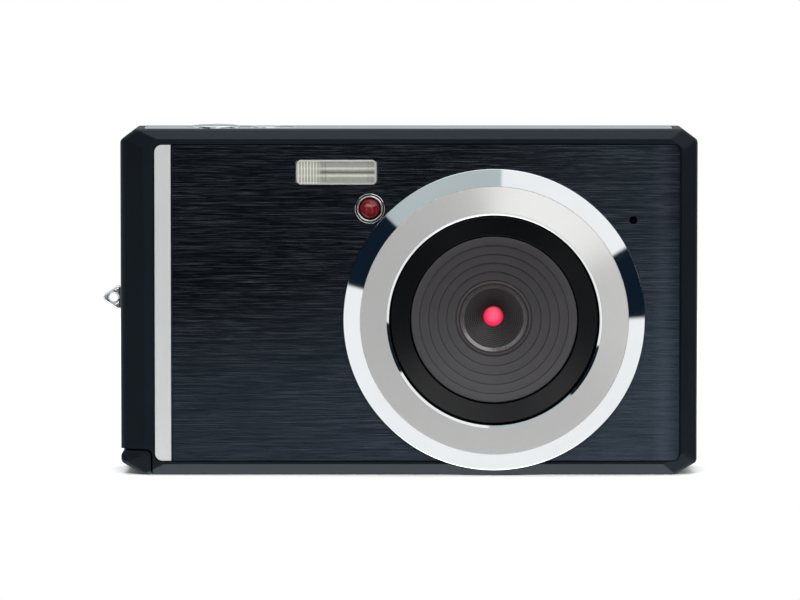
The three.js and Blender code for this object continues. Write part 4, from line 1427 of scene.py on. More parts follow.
@dataclass
class Flash(Assembly):
    """The ribbed window, the trough behind it and the tube."""

    half: Pair = (6.3, 1.95)
    corner: float = 0.8
    border: float = 0.24
    back: float = 7.7
    proud: float = 0.1
    rib_pitch: float = 0.52
    rib_depth: float = 0.15
    left_ribs: float = 4.2
    right_ribs: float = 1.0
    trough_wall: float = 0.35
    tube_cap: float = 1.1

    def ribs(self, level: float, far: float, sides: Pair, height: Pair) -> Piece:
        """A cutter that leaves vertical ribs at both ends of the window.

        A rib's height is depth * |sin(pi * x / pitch)|, so ribs are round and meet in sharp
        valleys. Between the two ends the depth is an eighth.

        Args:
            level: The height out of the crests.
            far: The height out of the cutter's other side.
            sides: The cutter's left and right ends.
            height: The cutter's lower and upper ends.
        """
        left, right = sides
        x = np.linspace(left, right, 360)
        ends = (x < left + self.left_ribs) | (x > right - self.right_ribs)
        depth = self.rib_depth * np.where(ends, 1.0, 0.12)
        toward = -1.0 if far > level else 1.0
        ribs = level + toward * depth * (1 - np.abs(np.sin(np.pi * (x - left) / self.rib_pitch)))
        section = np.concatenate(
            [np.column_stack([x, -ribs]), np.array([(right, -far), (left, -far)])]
        )
        return tool(Facing.TOP, Section(section), straight(*height))

    def window(self) -> None:
        """A clear pane with a frosted border and a ribbed, slightly sunk field."""
        x, z = Span.of("flash_window").at(Facing.FRONT)
        wide, tall = self.half
        front = Span.of("face_plate").reach(Facing.FRONT)[1] + self.proud
        outline = around((x, z), self.half, self.corner)
        end, sunk = self.border + 0.12, front - 0.1
        profile = edge_profile(self.back, front, 0.16)
        profile = np.concatenate([profile, [(self.border, front), (end, sunk)]])
        slots = np.where((profile[1:, 0] <= self.border) & (profile[1:, 1] > front - 0.5), 1, 0)
        pane = Surface().band(outline, profile, slots)
        pane.cap(outline.at(0.0)[0], self.back).cap(outline.at(end)[0], sunk)
        pane = pane.build("flash_window_pane")
        inner = (wide - self.border - 0.2, tall - self.border - 0.2)
        back = self.ribs(front - 1.1, BEHIND, (x - wide - 1, x + wide + 1), (z - 4, z + 4))
        face = self.ribs(
            front - 0.14, front + 2, (x - inner[0], x + inner[0]), (z - inner[1], z + inner[1])
        )
        carve(pane, [back, face])
        self.dress(pane, ("window", "frosted"), "clear_plastic", "flash_window", sharp=20)

    def reflector(self) -> None:
        """A bright trough: its section is a parabola, deepest at the back, closed at both ends."""
        span = Span.of("flash_reflector")
        centre, wall = span.centre, self.trough_wall
        half_width, half_height = span.size[0] / 2, span.size[2] / 2
        deep, mouth = span.reach(Facing.FRONT)
        t = np.linspace(-1, 1, 33)
        outer = np.column_stack([-(deep + (mouth - deep) * t**2), half_height * t])
        floor = deep + wall
        inner = np.column_stack([-(floor + (mouth - floor) * t**2), (half_height - wall) * t])
        section = np.concatenate([outer, inner[::-1]]) + (0, centre[2])
        ends = straight(centre[0] - half_width, centre[0] + half_width)
        piece = Surface(Facing.RIGHT).block(Section(section), ends).build("flash_reflector_trough")
        sides = []
        for side in (-1, 1):
            x = centre[0] + side * (half_width - 0.2)
            low = (x - 0.2, -mouth, centre[2] - half_height + 0.3)
            high = (x + 0.2, -deep - 0.8, centre[2] + half_height - 0.3)
            sides.append(box_tool(low, high))
        carve(piece, sides, Cut.JOIN)
        self.dress(piece, "mirror", "mirror_foil", "flash_reflector")

    def tube(self) -> None:
        """The glass tube with metal ends, turned about its own axis."""
        span, cap = Span.of("flash_tube"), self.tube_cap
        radius = span.size[2] / 2
        low, high = span.reach(Facing.RIGHT)
        glass, turn = radius - 0.12, 0.1
        profile = rounded_path(
            [(0, low), (radius, low), (radius, low + cap), (glass, low + cap + turn),
             (glass, high - cap - turn), (radius, high - cap), (radius, high), (0, high)],
            (0.25, 0.02, 0.02, 0.02, 0.02, 0.25),
        )
        middle = (profile[1:, 1] + profile[:-1, 1]) / 2
        metal = (middle < low + cap) | (middle > high - cap)
        surface = Surface(Facing.RIGHT).turn(span.at(Facing.RIGHT), profile, 32, metal.astype(int))
        piece = surface.build("flash_tube_glass")
        self.dress(piece, ("glass", "steel"), "clear_glass", "flash_tube")

    def build(self) -> None:
        """Makes the window, the trough and the tube."""
        self.window()
        self.reflector()
        self.tube()


@dataclass
class TimerLamp(Assembly):
    """The bright bezel and the red dome in it."""

    bore: float = 1.68
    groove_depth: float = 0.42
    dome_height: float = 0.62
    dome_foot: float = 7.9

    def build(self) -> None:
        """Both pieces are turned about the lamp's axis."""
        bezel, bore = Span.of("timer_lamp_bezel"), self.bore
        centre, outer = bezel.at(Facing.FRONT), bezel.radius
        back, front = bezel.reach(Facing.FRONT)
        floor = front - self.groove_depth
        profile = rounded_path(
            [(bore, back), (bore, front - 0.5), (bore + 0.12, front - 0.06),
             (bore + 0.32, front - 0.06), (bore + 0.42, floor), (outer - 0.16, floor),
             (outer - 0.1, front - 0.2), (outer, front - 0.26), (outer, back), (bore, back)],
            (0.1, 0.08, 0.1, 0.04, 0.04, 0.03, 0.03, 0.02),
            steps=4,
        )
        # The groove's faces take the gloss black: painted shade in the groove between the bezel's
        # inner lip and its outer rim.
        middle = (profile[1:, 0] + profile[:-1, 0]) / 2
        groove = (middle > bore + 0.4) & (middle < outer - 0.14)
        ring = Surface().turn(centre, profile, 72, groove.astype(int)).build("timer_lamp_bezel_ring")
        self.dress(ring, ("chrome", "gloss"), "bright_trim", "timer_lamp_bezel")
        lens = Span.of("timer_lamp_lens")
        radius, tip = lens.radius, lens.reach(Facing.FRONT)[1]
        angle = np.linspace(0, np.pi / 2, 14)
        rise = tip - self.dome_height * (1 - np.sin(angle))
        dome = np.column_stack([radius * np.cos(angle), rise])
        profile = np.concatenate([[(0, self.dome_foot), (radius, self.dome_foot)], dome])
        profile[-1, 0] = 0
        piece = Surface().turn(centre, profile, 48).build("timer_lamp_dome")
        self.dress(piece, "lamp", "lamp_red", "timer_lamp_lens")


# ---------------------------------------------------------------- lens


@dataclass
class Lens(Assembly):
    """Trim ring, bezel ring, stepped hood, grooved barrel and front element, on one axis."""

    steps: int = 192
    ring_inner: float = 16.85
    ring_bore: float = 16.45
    inner_drop: float = 0.3
    shoulder: float = 21.0
    shoulder_drop: float = 0.25
    outer_drop: float = 2.0
    seat: float = 9.9
    collar: float = 17.5
    bezel_slope: float = 0.7
    hood_rim: float = 5.95
    hood_bore: float = 5.3
    hood_drop: float = 3.0
    treads: int = 5
    grooves: int = 11
    mouth: float = 5.0
    throat: float = 1.55
    throat_depth: float = 1.9
    glass_seat: float = 3.0

    def __post_init__(self) -> None:
        """Takes the axis from the ring's box."""
        self.ring = Span.of("lens_trim_ring")
        self.centre = self.ring.at(Facing.FRONT)

    def trim_ring(self) -> None:
        """Polished slope outside, satin face, narrow polished slope inside."""
        outer = self.ring.radius
        back, front = self.ring.reach(Facing.FRONT)
        brim, shoulder = front - self.shoulder_drop, self.shoulder
        groove = brim - 0.03
        profile = rounded_path(
            [(self.collar, back), (self.ring_bore, back), (self.ring_bore, front - self.inner_drop),
             (self.ring_inner, front), (shoulder - 0.12, brim), (shoulder - 0.08, groove),
             (shoulder - 0.04, groove), (shoulder, brim), (outer, front - self.outer_drop),
             (outer, self.seat), (self.collar, self.seat), (self.collar, back)],
            (0.1, 0.12, 0.08, 0.02, 0.01, 0.01, 0.03, 0.3, 0.1, 0.05),
            steps=6,
        )
        middle = (profile[1:] + profile[:-1]) / 2
        fore = middle[:, 1] > brim - 0.14
        satin = fore & (middle[:, 0] > self.ring_inner) & (middle[:, 0] < shoulder - 0.02)
        surface = Surface().turn(self.centre, profile, self.steps, satin.astype(int))
        piece = surface.build("lens_trim_ring_turned")
        self.dress(piece, ("chrome", "satin"), "lens_ring", "lens_trim_ring", sharp=14)

    def bezel(self) -> None:
        """A gloss black ring that slopes in towards the hood."""
        span = Span.of("lens_bezel_ring")
        outer, inner = span.radius, Span.of("lens_hood").radius + 0.2
        back, front = span.reach(Facing.FRONT)
        profile = rounded_path(
            [(inner, back), (outer, back), (outer, front), (inner, front - self.bezel_slope),
             (inner, back)],
            (0.1, 0.08, 0.12),
        )
        piece = Surface().turn(self.centre, profile, self.steps).build("lens_bezel_turned")
        self.dress(piece, "gloss", "gloss_black", "lens_bezel_ring")

    def hood(self) -> None:
        """Five shallow treads down to a raised rim, like a very flat staircase.

        Tread i runs from radius R - i*w to R - (i+1)*w, falling 35 % of a step, and ends in a small
        riser of the rest.
        """
        span = Span.of("lens_hood")
        outer = span.radius
        back, front = span.reach(Facing.FRONT)
        width = (outer - self.hood_rim) / self.treads
        drop = self.hood_drop / self.treads
        points: list[Pair] = [(self.hood_bore, back), (outer, back), (outer, front)]
        radii: list[float] = [0.1, 0.15]
        for i in range(self.treads):
            r = outer - width * (i + 1)
            z = front - drop * i
            points += [(r + 0.1, z - drop * 0.35), (r, z - drop)]
            radii += [0.06, 0.06]
        floor, rim, bore = front - self.hood_drop, self.hood_rim, self.hood_bore
        points += [(rim - 0.1, floor + 0.28), (rim - 0.42, floor + 0.3)]
        points += [(bore, floor - 0.15), (bore, back)]
        radii += [0.1, 0.12, 0.1]
        profile = rounded_path(points, radii, steps=4)
        piece = Surface().turn(self.centre, profile, self.steps).build("lens_hood_stepped")
        self.dress(piece, "hood", "lens_grey", "lens_hood", sharp=40)

    def barrel(self) -> None:
        """A cone of fine baffle grooves down to the small opening in front of the glass.

        The cone's radius falls evenly from mouth to throat, and each groove is a saw tooth: a face
        across the axis, then a short wall along it. The walls are glossier and much darker than the
        faces, which paints shade into the grooves, and the lip is bright.
        """
        span = Span.of("lens_barrel")
        outer, edge = span.radius, self.mouth - 0.2
        back, front = span.reach(Facing.FRONT)
        share = np.arange(1, self.grooves + 1) / self.grooves
        radius = edge + (self.throat - edge) * share
        depth = front + (self.throat_depth - front) * share
        pitch = (front - self.throat_depth) / self.grooves
        starts, ends = (np.column_stack([radius, level]) for level in (depth + pitch * 0.7, depth))
        teeth = np.stack([starts, ends], axis=1).reshape(-1, 2)
        lip = [(outer, front), (self.mouth + 0.35, front), (edge, front - 0.22)]
        seat = [(self.glass_seat, self.throat_depth - 0.3), (self.glass_seat, back), (outer, back),
                (outer, front)]
        points = np.concatenate([lip, teeth, seat])
        radii = np.full(len(points) - 2, 0.11)
        radii[-4:] = 0.05
        profile = rounded_path(points, radii, steps=4)
        middle = (profile[1:] + profile[:-1]) / 2
        bright = (middle[:, 0] > edge) & (middle[:, 0] < self.mouth + 0.36)
        bright &= middle[:, 1] > front - 0.24
        run, fall = np.abs(np.diff(profile, axis=0)).T
        # The steep walls are glossier and much darker than the faces: the darkness is painted shade
        # in the grooves.
        painted_shade_walls = (fall > 0.4 * run) & ~bright
        surface = Surface().turn(self.centre, profile, 128, bright + 2 * painted_shade_walls)
        piece = surface.build("lens_barrel_grooved")
        self.dress(piece, ("barrel", "lip", "gloss"), "lens_grey", "lens_barrel", sharp=40)

    def element(self) -> None:
        """The domed front glass, with the coating's painted reflection and painted glow that give
        the pupil its colour.
        """
        span = Span.of("front_lens_element")
        radius, sag = span.radius, 0.5
        back, tip = span.reach(Facing.FRONT)
        share = np.linspace(1, 0, 16)
        dome = np.column_stack([radius * share, tip - sag * share**2])
        profile = np.concatenate([[(0, back), (radius, back)], dome])
        glass = Surface().turn(self.centre, profile, 64).build("front_element_glass")
        self.dress(glass, "coating", "clear_glass", "front_lens_element")

    def build(self) -> None:
        """Makes the lens from the outside in."""
        self.trim_ring()
        self.bezel()
        self.hood()
        self.barrel()
        self.element()


# ---------------------------------------------------------------- trims, buttons and eyelet


@dataclass
class Trims(Assembly):
    """The chrome trims on the top and both sides, and what is set into them."""

    corner: float = 1.3
    edge: float = 0.16
    edge_steps: int = 6
    crown_fall: float = 0.3
    crown_rows: int = 14
    top_drop: float = 0.2
    button_drop: float = 0.35
    bed_low: Pair = (-34.9, -4.3)
    bed_high: Pair = (-17.3, 4.3)
    bed_corner: float = 3.6
    bed_depth: float = 0.14
    flange: Pair = (51.75, 52.45)
    flange_width: float = 0.55
    stem: float = 0.9
    eyelet_root: float = -45.55
    eyelet_bore: float = 0.72
    eyelet_round: float = 0.42

    def crowned(self, node: str) -> Piece:
        """A trim plate with rounded edges and a low crown across its depth.

        Rows run inwards from the outline. The height is top - fall * (y / half depth) ** 2, less
        what the rounded edge takes.

        Args:
            node: The CAD node that gives the box.

        Returns:
            The plate, in millimetres.
        """
        span, facing = Span.of(node), TRIM_SIDES[node]
        foot, top = span.reach(facing)
        if facing is Facing.TOP:
            top -= self.top_drop
        across = facing.axes.index(1)
        half_depth, fall = span.size[1] / 2, self.crown_fall
        angle = np.linspace(0, np.pi / 2, self.edge_steps + 1)
        edge = self.edge * np.column_stack([1 - np.cos(angle), np.sin(angle) - 1])
        inset = np.linspace(0.4, half_depth - 0.1, self.crown_rows)
        inner = np.column_stack([inset, np.zeros_like(inset)])
        spec = np.concatenate([[(0, foot - top + fall)], edge, inner])
        loops = subdivided(span.outline(facing, self.corner).at(spec[:, 0]), 8)
        crown = top - fall * ((loops[..., across] - span.centre[1]) / half_depth) ** 2
        height = crown + spec[:, 1, None]
        height[0] = foot
        rows = np.concatenate([loops, height[..., None]], axis=-1)
        surface = Surface(facing).grid(rows)
        surface.cap(rows[0, :, :2], foot).cap(rows[-1, :, :2], rows[-1, :, 2])
        return surface.build(f"{node}_plated")

    def top(self) -> list[Piece]:
        """The cutters of the top trim: the buttons' sunk bed and their holes."""
        top = Facing.TOP
        level = Span.of("top_trim").reach(top)[1] - self.top_drop
        floor = level - self.bed_depth
        bed = rectangle(self.bed_low, self.bed_high, self.bed_corner, steps=14)
        tools = [tool(top, bed, flare_profile(floor, level, 0.2))]
        for node, radius in TOP_BUTTON_HOLES.items():
            disc = Disc(Span.of(node).at(top), radius, 72)
            tools.append(tool(top, disc, flare_profile(50, floor, 0.1)))
        return tools

    def right(self) -> list[Piece]:
        """The cutters of the right trim: the socket's mouth and the screws' sunk holes."""
        right = Facing.RIGHT
        foot, face = Span.of("right_trim").reach(right)
        mouth = Span.of("usb_socket").outline(right, 0.9, 0.25)
        tools = [tool(right, mouth, flare_profile(40, face, 0.15))]
        for node in SIDE_SCREWS:
            centre = Span.of(node).at(right)
            sunk = flare_profile(foot + 0.2, face, 0.14)
            tools.append(tool(right, Disc(centre, 1.65, 48), sunk))
            tools.append(tool(right, Disc(centre, 0.9, 24), straight(40, FAR)))
        return tools

    def plates(self) -> None:
        """The three trims, the left one with the eyelet's slot."""
        cutters = {
            "top_trim": self.top(),
            "left_trim": [eyelet_slot()],
            "right_trim": self.right(),
        }
        for node, tools in cutters.items():
            trim = self.crowned(node)
            carve(trim, tools)
            self.dress(trim, "trim", "bright_trim", node, sharp=25)

    def buttons(self) -> None:
        """The shutter and power buttons: low domed caps on a flange and a stem."""
        top, stem = Facing.TOP, self.stem
        under, over = self.flange
        for name, dome in (("shutter", 0.2), ("power", 0.12)):
            node = f"{name}_button"
            span = Span.of(node)
            foot, tip = span.reach(top)
            tip -= self.button_drop
            brim, radius = span.radius, span.radius - self.flange_width
            profile = rounded_path(
                [(0, foot), (stem, foot), (stem, under), (brim, under), (brim, over),
                 (radius, over), (radius, tip - dome), (radius * 0.7, tip - dome * 0.3),
                 (radius * 0.3, tip), (0, tip)],
                (0.1, 0.05, 0.1, 0.1, 0.05, 0.3, 1.6, 1.6),
            )
            piece = Surface(top).turn(span.at(top), profile, 96).build(f"{node}_cap")
            self.dress(piece, "trim", "bright_trim", node, name)

    def eyelet(self) -> None:
        """The strap eyelet: a thick three-cornered lug with a round hole and a tang in the wall."""
        span, root, soft = Span.of("strap_eyelet"), self.eyelet_root, self.eyelet_round
        tip, middle = float(span.low[0]) - 0.4, float(span.centre[2])
        half, deep = float(span.size[2]) / 2 + 0.15, float(span.size[1]) / 2
        corners = ((tip, middle), (root, middle - half), (root, middle + half))
        outline = Outline(corners, (0.62, 0.4, 0.4), steps=16)
        lug = Surface().block(outline, edge_profile(-deep, deep, soft, soft, steps=9))
        lug = lug.build("strap_eyelet_lug")
        bore = Disc((root - 1.2, middle), self.eyelet_bore, 56)
        mouth = flare_profile(-0.6, deep, soft)
        carve(lug, [tool(Facing.FRONT, bore, profile) for profile in (mouth, mouth * (1, -1))])
        tang = box_tool((root - 0.1, -1.0, middle - 1.45), (-42.9, 1.0, middle + 1.45))
        carve(lug, [tang], Cut.JOIN)
        self.dress(lug, "chrome", "bright_trim", "strap_eyelet")

    def build(self) -> None:
        """Makes the trims, the buttons and the eyelet."""
        self.plates()
        self.buttons()
        self.eyelet()


@dataclass
class Fixings(Assembly):
    """Screws with cross recesses, the threaded tripod bush, springs and the socket."""

    screw_head: float = 1.5
    screw_shank: float = 0.75
    cross: Pair = (0.95, 0.17)
    bush_bore: float = 3.175
    bush_floor: float = 6.0
    thread_pitch: float = 1.27
    thread_depth: float = 0.5
    wire: float = 0.17
    coils: float = 3.5
    pressed: float = 0.5

    def screw(self, node: str, facing: Facing, thick: float) -> None:
        """One screw: a low domed head of a given thickness, its tapered cross and a shank."""
        span, head, shank = Span.of(node), self.screw_head, self.screw_shank
        centre = span.at(facing)
        foot, face = span.reach(facing)
        under = face - thick
        profile = rounded_path(
            [(0, foot), (shank, foot), (shank, under), (head, under), (head, face - 0.14),
             (head * 0.6, face), (0, face)],
            (0.1, 0.05, 0.05, 0.08, 0.6),
        )
        piece = Surface(facing).turn(centre, profile, 48).build(f"{node}_crossed")
        taper = [(0.12, face - 0.36), (0, face + 0.4)]
        bars = (around(centre, half, 0.14) for half in (self.cross, self.cross[::-1]))
        carve(piece, [tool(facing, bar, taper) for bar in bars])
        self.dress(piece, "steel", "plain_steel", node)

    def bush(self) -> None:
        """The tripod bush, with its thread cut as a helix.

        The bore's radius is r - depth * triangle(height / pitch + angle / 2 pi), fading in over the
        first quarter pitch.
        """
        span, bore, floor = Span.of("tripod_bush"), self.bush_bore, self.bush_floor
        centre, outer = np.array(span.at(Facing.UNDER)), span.radius
        low, high = span.reach(Facing.TOP)
        start, pitch = low + 0.25, self.thread_pitch
        angle = np.linspace(0, 2 * np.pi, 96, endpoint=False)
        circle = np.stack([np.cos(angle), np.sin(angle)], axis=-1)
        height = np.linspace(start, floor - 0.2, 90)
        phase = (height[:, None] / pitch + angle[None] / (2 * np.pi)) % 1
        fade = np.clip((height - start) / (pitch / 4), 0, 1)[:, None]
        radius = bore - self.thread_depth * np.abs(2 * phase - 1) * fade
        foot = [(0, high), (outer - 0.2, high), (outer, high - 0.2), (outer, low + 0.12),
                (outer - 0.12, low), (bore + 0.25, low)]
        wall = np.stack([radius, np.broadcast_to(height[:, None], radius.shape)], axis=-1)
        below, above = (
            np.repeat(np.array(part, float)[:, None], len(angle), axis=1)
            for part in (foot, [(bore, floor), (0, floor)])
        )
        turned = np.concatenate([below, wall, above])
        flat = centre + turned[..., :1] * circle
        rows = np.concatenate([flat, -turned[..., 1:]], axis=-1)
        piece = Surface(Facing.UNDER).grid(rows).build("tripod_bush_threaded")
        self.dress(piece, "steel", "plain_steel", "tripod_bush")

    def socket(self) -> None:
        """The USB socket: a folded shell with a tongue and its contacts."""
        right, span = Facing.RIGHT, Span.of("usb_socket")
        foot, face = span.reach(right)
        shell = Surface(right).block(span.outline(right, 0.7), edge_profile(foot, face, 0.12))
        shell = shell.build("usb_socket_shell")
        hollow = span.outline(right, 0.4, -0.35)
        carve(shell, [tool(right, hollow, flare_profile(foot + 0.6, face, 0.1))])
        tongue = around(span.at(right), (0.45, 2.4), 0.1)
        carve(shell, [tool(right, tongue, edge_profile(foot + 0.3, face - 1, 0.1))], Cut.JOIN)
        self.dress(shell, "steel", "plain_steel", "usb_socket")

    def spring(self, name: str) -> None:
        """A return spring.

        The centre line is a helix with flat end coils: its height follows the turn number by a
        smooth step, and a small circle is carried round it, closed by a point at each end.
        """
        span, wire, sides = Span.of(f"{name}_spring"), self.wire, 10
        radius = span.radius - wire
        t = np.linspace(0, 1, 220)
        angle = 2 * np.pi * self.coils * t
        radial = np.column_stack([np.cos(angle), np.sin(angle), np.zeros_like(angle)])
        low, high = span.low[2] + wire, span.high[2] - wire
        path = radius * radial + (*span.centre[:2], 0)
        path[:, 2] = low + (high - low) * t * t * (3 - 2 * t)
        girth = np.linspace(0, 2 * np.pi, sides, endpoint=False)[None, :, None]
        upward = np.array([0, 0, 1])
        rows = path[:, None] + wire * (np.cos(girth) * radial[:, None] + np.sin(girth) * upward)
        rows = np.concatenate(
            [path[:1, None].repeat(sides, 1), rows, path[-1:, None].repeat(sides, 1)]
        )
        piece = Surface(Facing.TOP).grid(rows).build(f"{name}_spring_coil")
        self.dress(piece, "steel", "plain_steel", f"{name}_spring")
        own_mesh(piece)

    def build(self) -> None:
        """Makes the fixings."""
        for node in BASE_SCREWS:
            self.screw(node, Facing.UNDER, 0.9)
        for node in SIDE_SCREWS:
            self.screw(node, Facing.RIGHT, 0.4)
        self.bush()
        self.socket()
        for name in ("shutter", "power"):
            self.spring(name)


# ---------------------------------------------------------------- back


@dataclass
class BackPanel(Assembly):
    """Screen window, keys, navigation pad, zoom rocker and lamp."""

    mark: float = 0.03
    dish: float = 0.07
    key_flange: float = 8.3
    key_brim: float = 0.7
    pad_inner: float = 4.3
    arrow_reach: float = 8.0
    ok_flange: float = 7.95
    ok_radius: float = 3.85
    rocker_half: float = 2.5
    rocker_foot: float = 7.75
    valley: float = 26.0
    valley_depth: float = 0.15
    sign_reach: float = 0.85
    sign_bar: float = 0.17
    sign_offset: float = 5.9

    def screen(self) -> None:
        """The gloss window over the display."""
        span = Span.of("screen_window")
        outline = span.outline(Facing.BACK, 1.2, steps=10)
        profile = edge_profile(*span.reach(Facing.BACK), 0.14)
        piece = Surface(Facing.BACK).block(outline, profile).build("screen_glass")
        self.dress(piece, "display", "screen_glass", "screen_window")

    def turned(self, node: str, name: str, profile: Array, steps: int) -> Piece:
        """A profile turned about a node's own axis on the back."""
        return Surface(Facing.BACK).turn(Span.of(node).at(Facing.BACK), profile, steps).build(name)

    def key(self, node: str, body: str) -> None:
        """A round key with a soft edge, a shallow dish and a flange."""
        span, level = Span.of(node), self.key_flange
        low, top = span.reach(Facing.BACK)
        brim, radius, dished = span.radius, span.radius - self.key_brim, top - self.dish
        profile = rounded_path(
            [(0, low), (brim, low), (brim, level), (radius, level), (radius, top),
             (radius * 0.55, dished), (0, dished)],
            (0.1, 0.1, 0.05, 0.32, 1.0),
        )
        piece = self.turned(node, f"{node}_cap", profile, 72)
        self.dress(piece, "keys", "back_keys", node, body)

    def symbol(self, name: str, body: str, outlines: Sequence[Shape], level: float) -> None:
        """A thin printed sign made of a few convex shapes, on a key's face."""
        surface = Surface(Facing.BACK)
        for outline in outlines:
            surface.block(outline, straight(level - 0.12, level + self.mark))
        self.dress(surface.build(name), "print", "back_keys", body=body)

    def pad(self) -> None:
        """The navigation ring, dished, and the centre button."""
        span, inner = Span.of("navigation_ring"), self.pad_inner
        outer = span.radius
        low, top = span.reach(Facing.BACK)
        profile = rounded_path(
            [(inner, low), (outer, low), (outer, top - 0.1), (outer - 1.6, top - 0.12),
             (inner + 0.5, top - 0.42), (inner, top - 0.6), (inner, low)],
            (0.05, 0.4, 1.4, 0.5, 0.12),
        )
        ring = self.turned("navigation_ring", "navigation_ring_dished", profile, 128)
        self.dress(ring, "keys", "back_keys", "navigation_ring", "pad_ring")
        span, level, radius = Span.of("ok_button"), self.ok_flange, self.ok_radius
        low, top = span.reach(Facing.BACK)
        profile = rounded_path(
            [(0, low), (span.radius, low), (span.radius, level), (radius, level), (radius, top),
             (0, top + 0.05)],
            (0.05, 0.05, 0.05, 0.4),
        )
        cap = self.turned("navigation_ring", "ok_button_cap", profile, 72)
        self.dress(cap, "keys", "back_keys", "ok_button", "ok_key")

    def rocker(self) -> None:
        """The zoom rocker: a long cap that dips in the middle, with raised plus and minus signs."""
        span = Span.of("zoom_rocker")
        x, z = centre = span.at(Facing.BACK)
        tall, top = self.rocker_half, span.reach(Facing.BACK)[1]
        outline = around(centre, (span.radius, tall), tall - 0.01, steps=18)
        profile = edge_profile(self.rocker_foot, top, 0.4)
        cap = Surface(Facing.BACK).block(outline, profile).build("zoom_rocker_cap")
        valley = Disc((x, top + self.valley - self.valley_depth), self.valley, 400)
        carve(cap, [tool(Facing.TOP, valley, straight(z - 6, z + 6))])
        carve(cap, [box_tool((x - 1.6, 7.6, z - 3.2), (x + 1.6, 8.2, z + 3.2))], Cut.JOIN)
        self.dress(cap, "keys", "back_keys", "zoom_rocker", "rocker")
        long, bar = self.sign_reach, self.sign_bar
        plus, minus = (x - self.sign_offset, z), (x + self.sign_offset, z)
        signs = [around(at, (long, bar), 0.1, 3) for at in (plus, minus)]
        self.symbol("rocker_signs", "rocker", signs, top)
        self.symbol("rocker_plus_upright", "rocker", [around(plus, (bar, long), 0.1, 3)], top)

    def signs(self) -> None:
        """Plain signs on the keys: lines, a triangle, a bin, a dot and four arrows."""
        back = Facing.BACK
        level = Span.of("menu_button").reach(back)[1] - self.dish
        x, z = Span.of("menu_button").at(back)
        lines = [around((x, z + step), (0.85, 0.1), 0.06, 2) for step in (-0.5, 0.0, 0.5)]
        self.symbol("menu_sign", "menu_key", lines, level)
        x, z = Span.of("playback_button").at(back)
        triangle = Outline(((x + 0.6, z - 0.8), (x + 0.6, z + 0.8), (x - 0.9, z)), 0.1, 3)
        self.symbol("playback_sign", "playback_key", [triangle], level)
        x, z = Span.of("delete_button").at(back)
        waste = [
            rectangle((x - 0.55, z - 0.85), (x + 0.55, z + 0.4), 0.12, 3),
            rectangle((x - 0.8, z + 0.5), (x + 0.8, z + 0.7), 0.06, 2),
        ]
        self.symbol("delete_sign", "delete_key", waste, level)
        dot = Disc(Span.of("mode_button").at(back), 0.55, 32)
        self.symbol("mode_sign", "mode_key", [dot], level)
        ring = Span.of("navigation_ring")
        arrows = []
        for angle in np.arange(4) * np.pi / 2:
            along = np.array([np.cos(angle), np.sin(angle)])
            side = 0.7 * np.array([-along[1], along[0]])
            tip = np.array(ring.at(back)) + self.arrow_reach * along
            base = tip - 0.9 * along
            arrows.append(Outline((tip, base + side, base - side), 0.08, 3))
        self.symbol("navigation_arrows", "pad_ring", arrows, ring.reach(back)[1] - 0.17)

    def lamp(self) -> None:
        """The small status lamp's domed lens."""
        span = Span.of("status_lamp")
        radius = span.radius
        low, top = span.reach(Facing.BACK)
        profile = rounded_path([(0, low), (radius, low), (radius, top), (0, top + 0.1)], (0.05, 0.2))
        piece = self.turned("status_lamp", "status_lamp_lens", profile, 32)
        self.dress(piece, "diode", "clear_plastic", "status_lamp")

    def build(self) -> None:
        """Makes the back's pieces."""
        self.screen()
        for node, body in ROUND_KEYS.items():
            self.key(node, body)
        self.pad()
        self.rocker()
        self.signs()
        self.lamp()


# ---------------------------------------------------------------- insides


INNER_NODES = {
    "component": (
        "flash_capacitor", "image_sensor", "battery_bay", "lcd_panel", "processor_chip", "speaker",
    ),
    "diode": ("timer_lamp_diode",),
    "cloth": ("microphone",),
    "glass": ("rear_lens_element",),
    "barrel": ("lens_holder",),
    "coating": ("infrared_filter",),
    "board": ("sensor_board", "main_board", "top_switch_board"),
    "battery": ("battery",),
    "brass": ("battery_contacts",),
    "steel": ("card_socket", "door_hinge_pin"),
    "card": ("memory_card",),
    "rubber": ("keypad_mat", "navigation_carrier"),
}


@dataclass
class Insides(Assembly):
    """The nodes that stay as they are, each given its finish."""

    nodes: dict[str, Piece]

    def build(self) -> None:
        """Puts each finish on its node."""
        for key, nodes in INNER_NODES.items():
            for node in nodes:
                mesh = self.nodes[node].data
                mesh.materials.clear()
                mesh.materials.append(self.palette[key])


# ---------------------------------------------------------------- studio


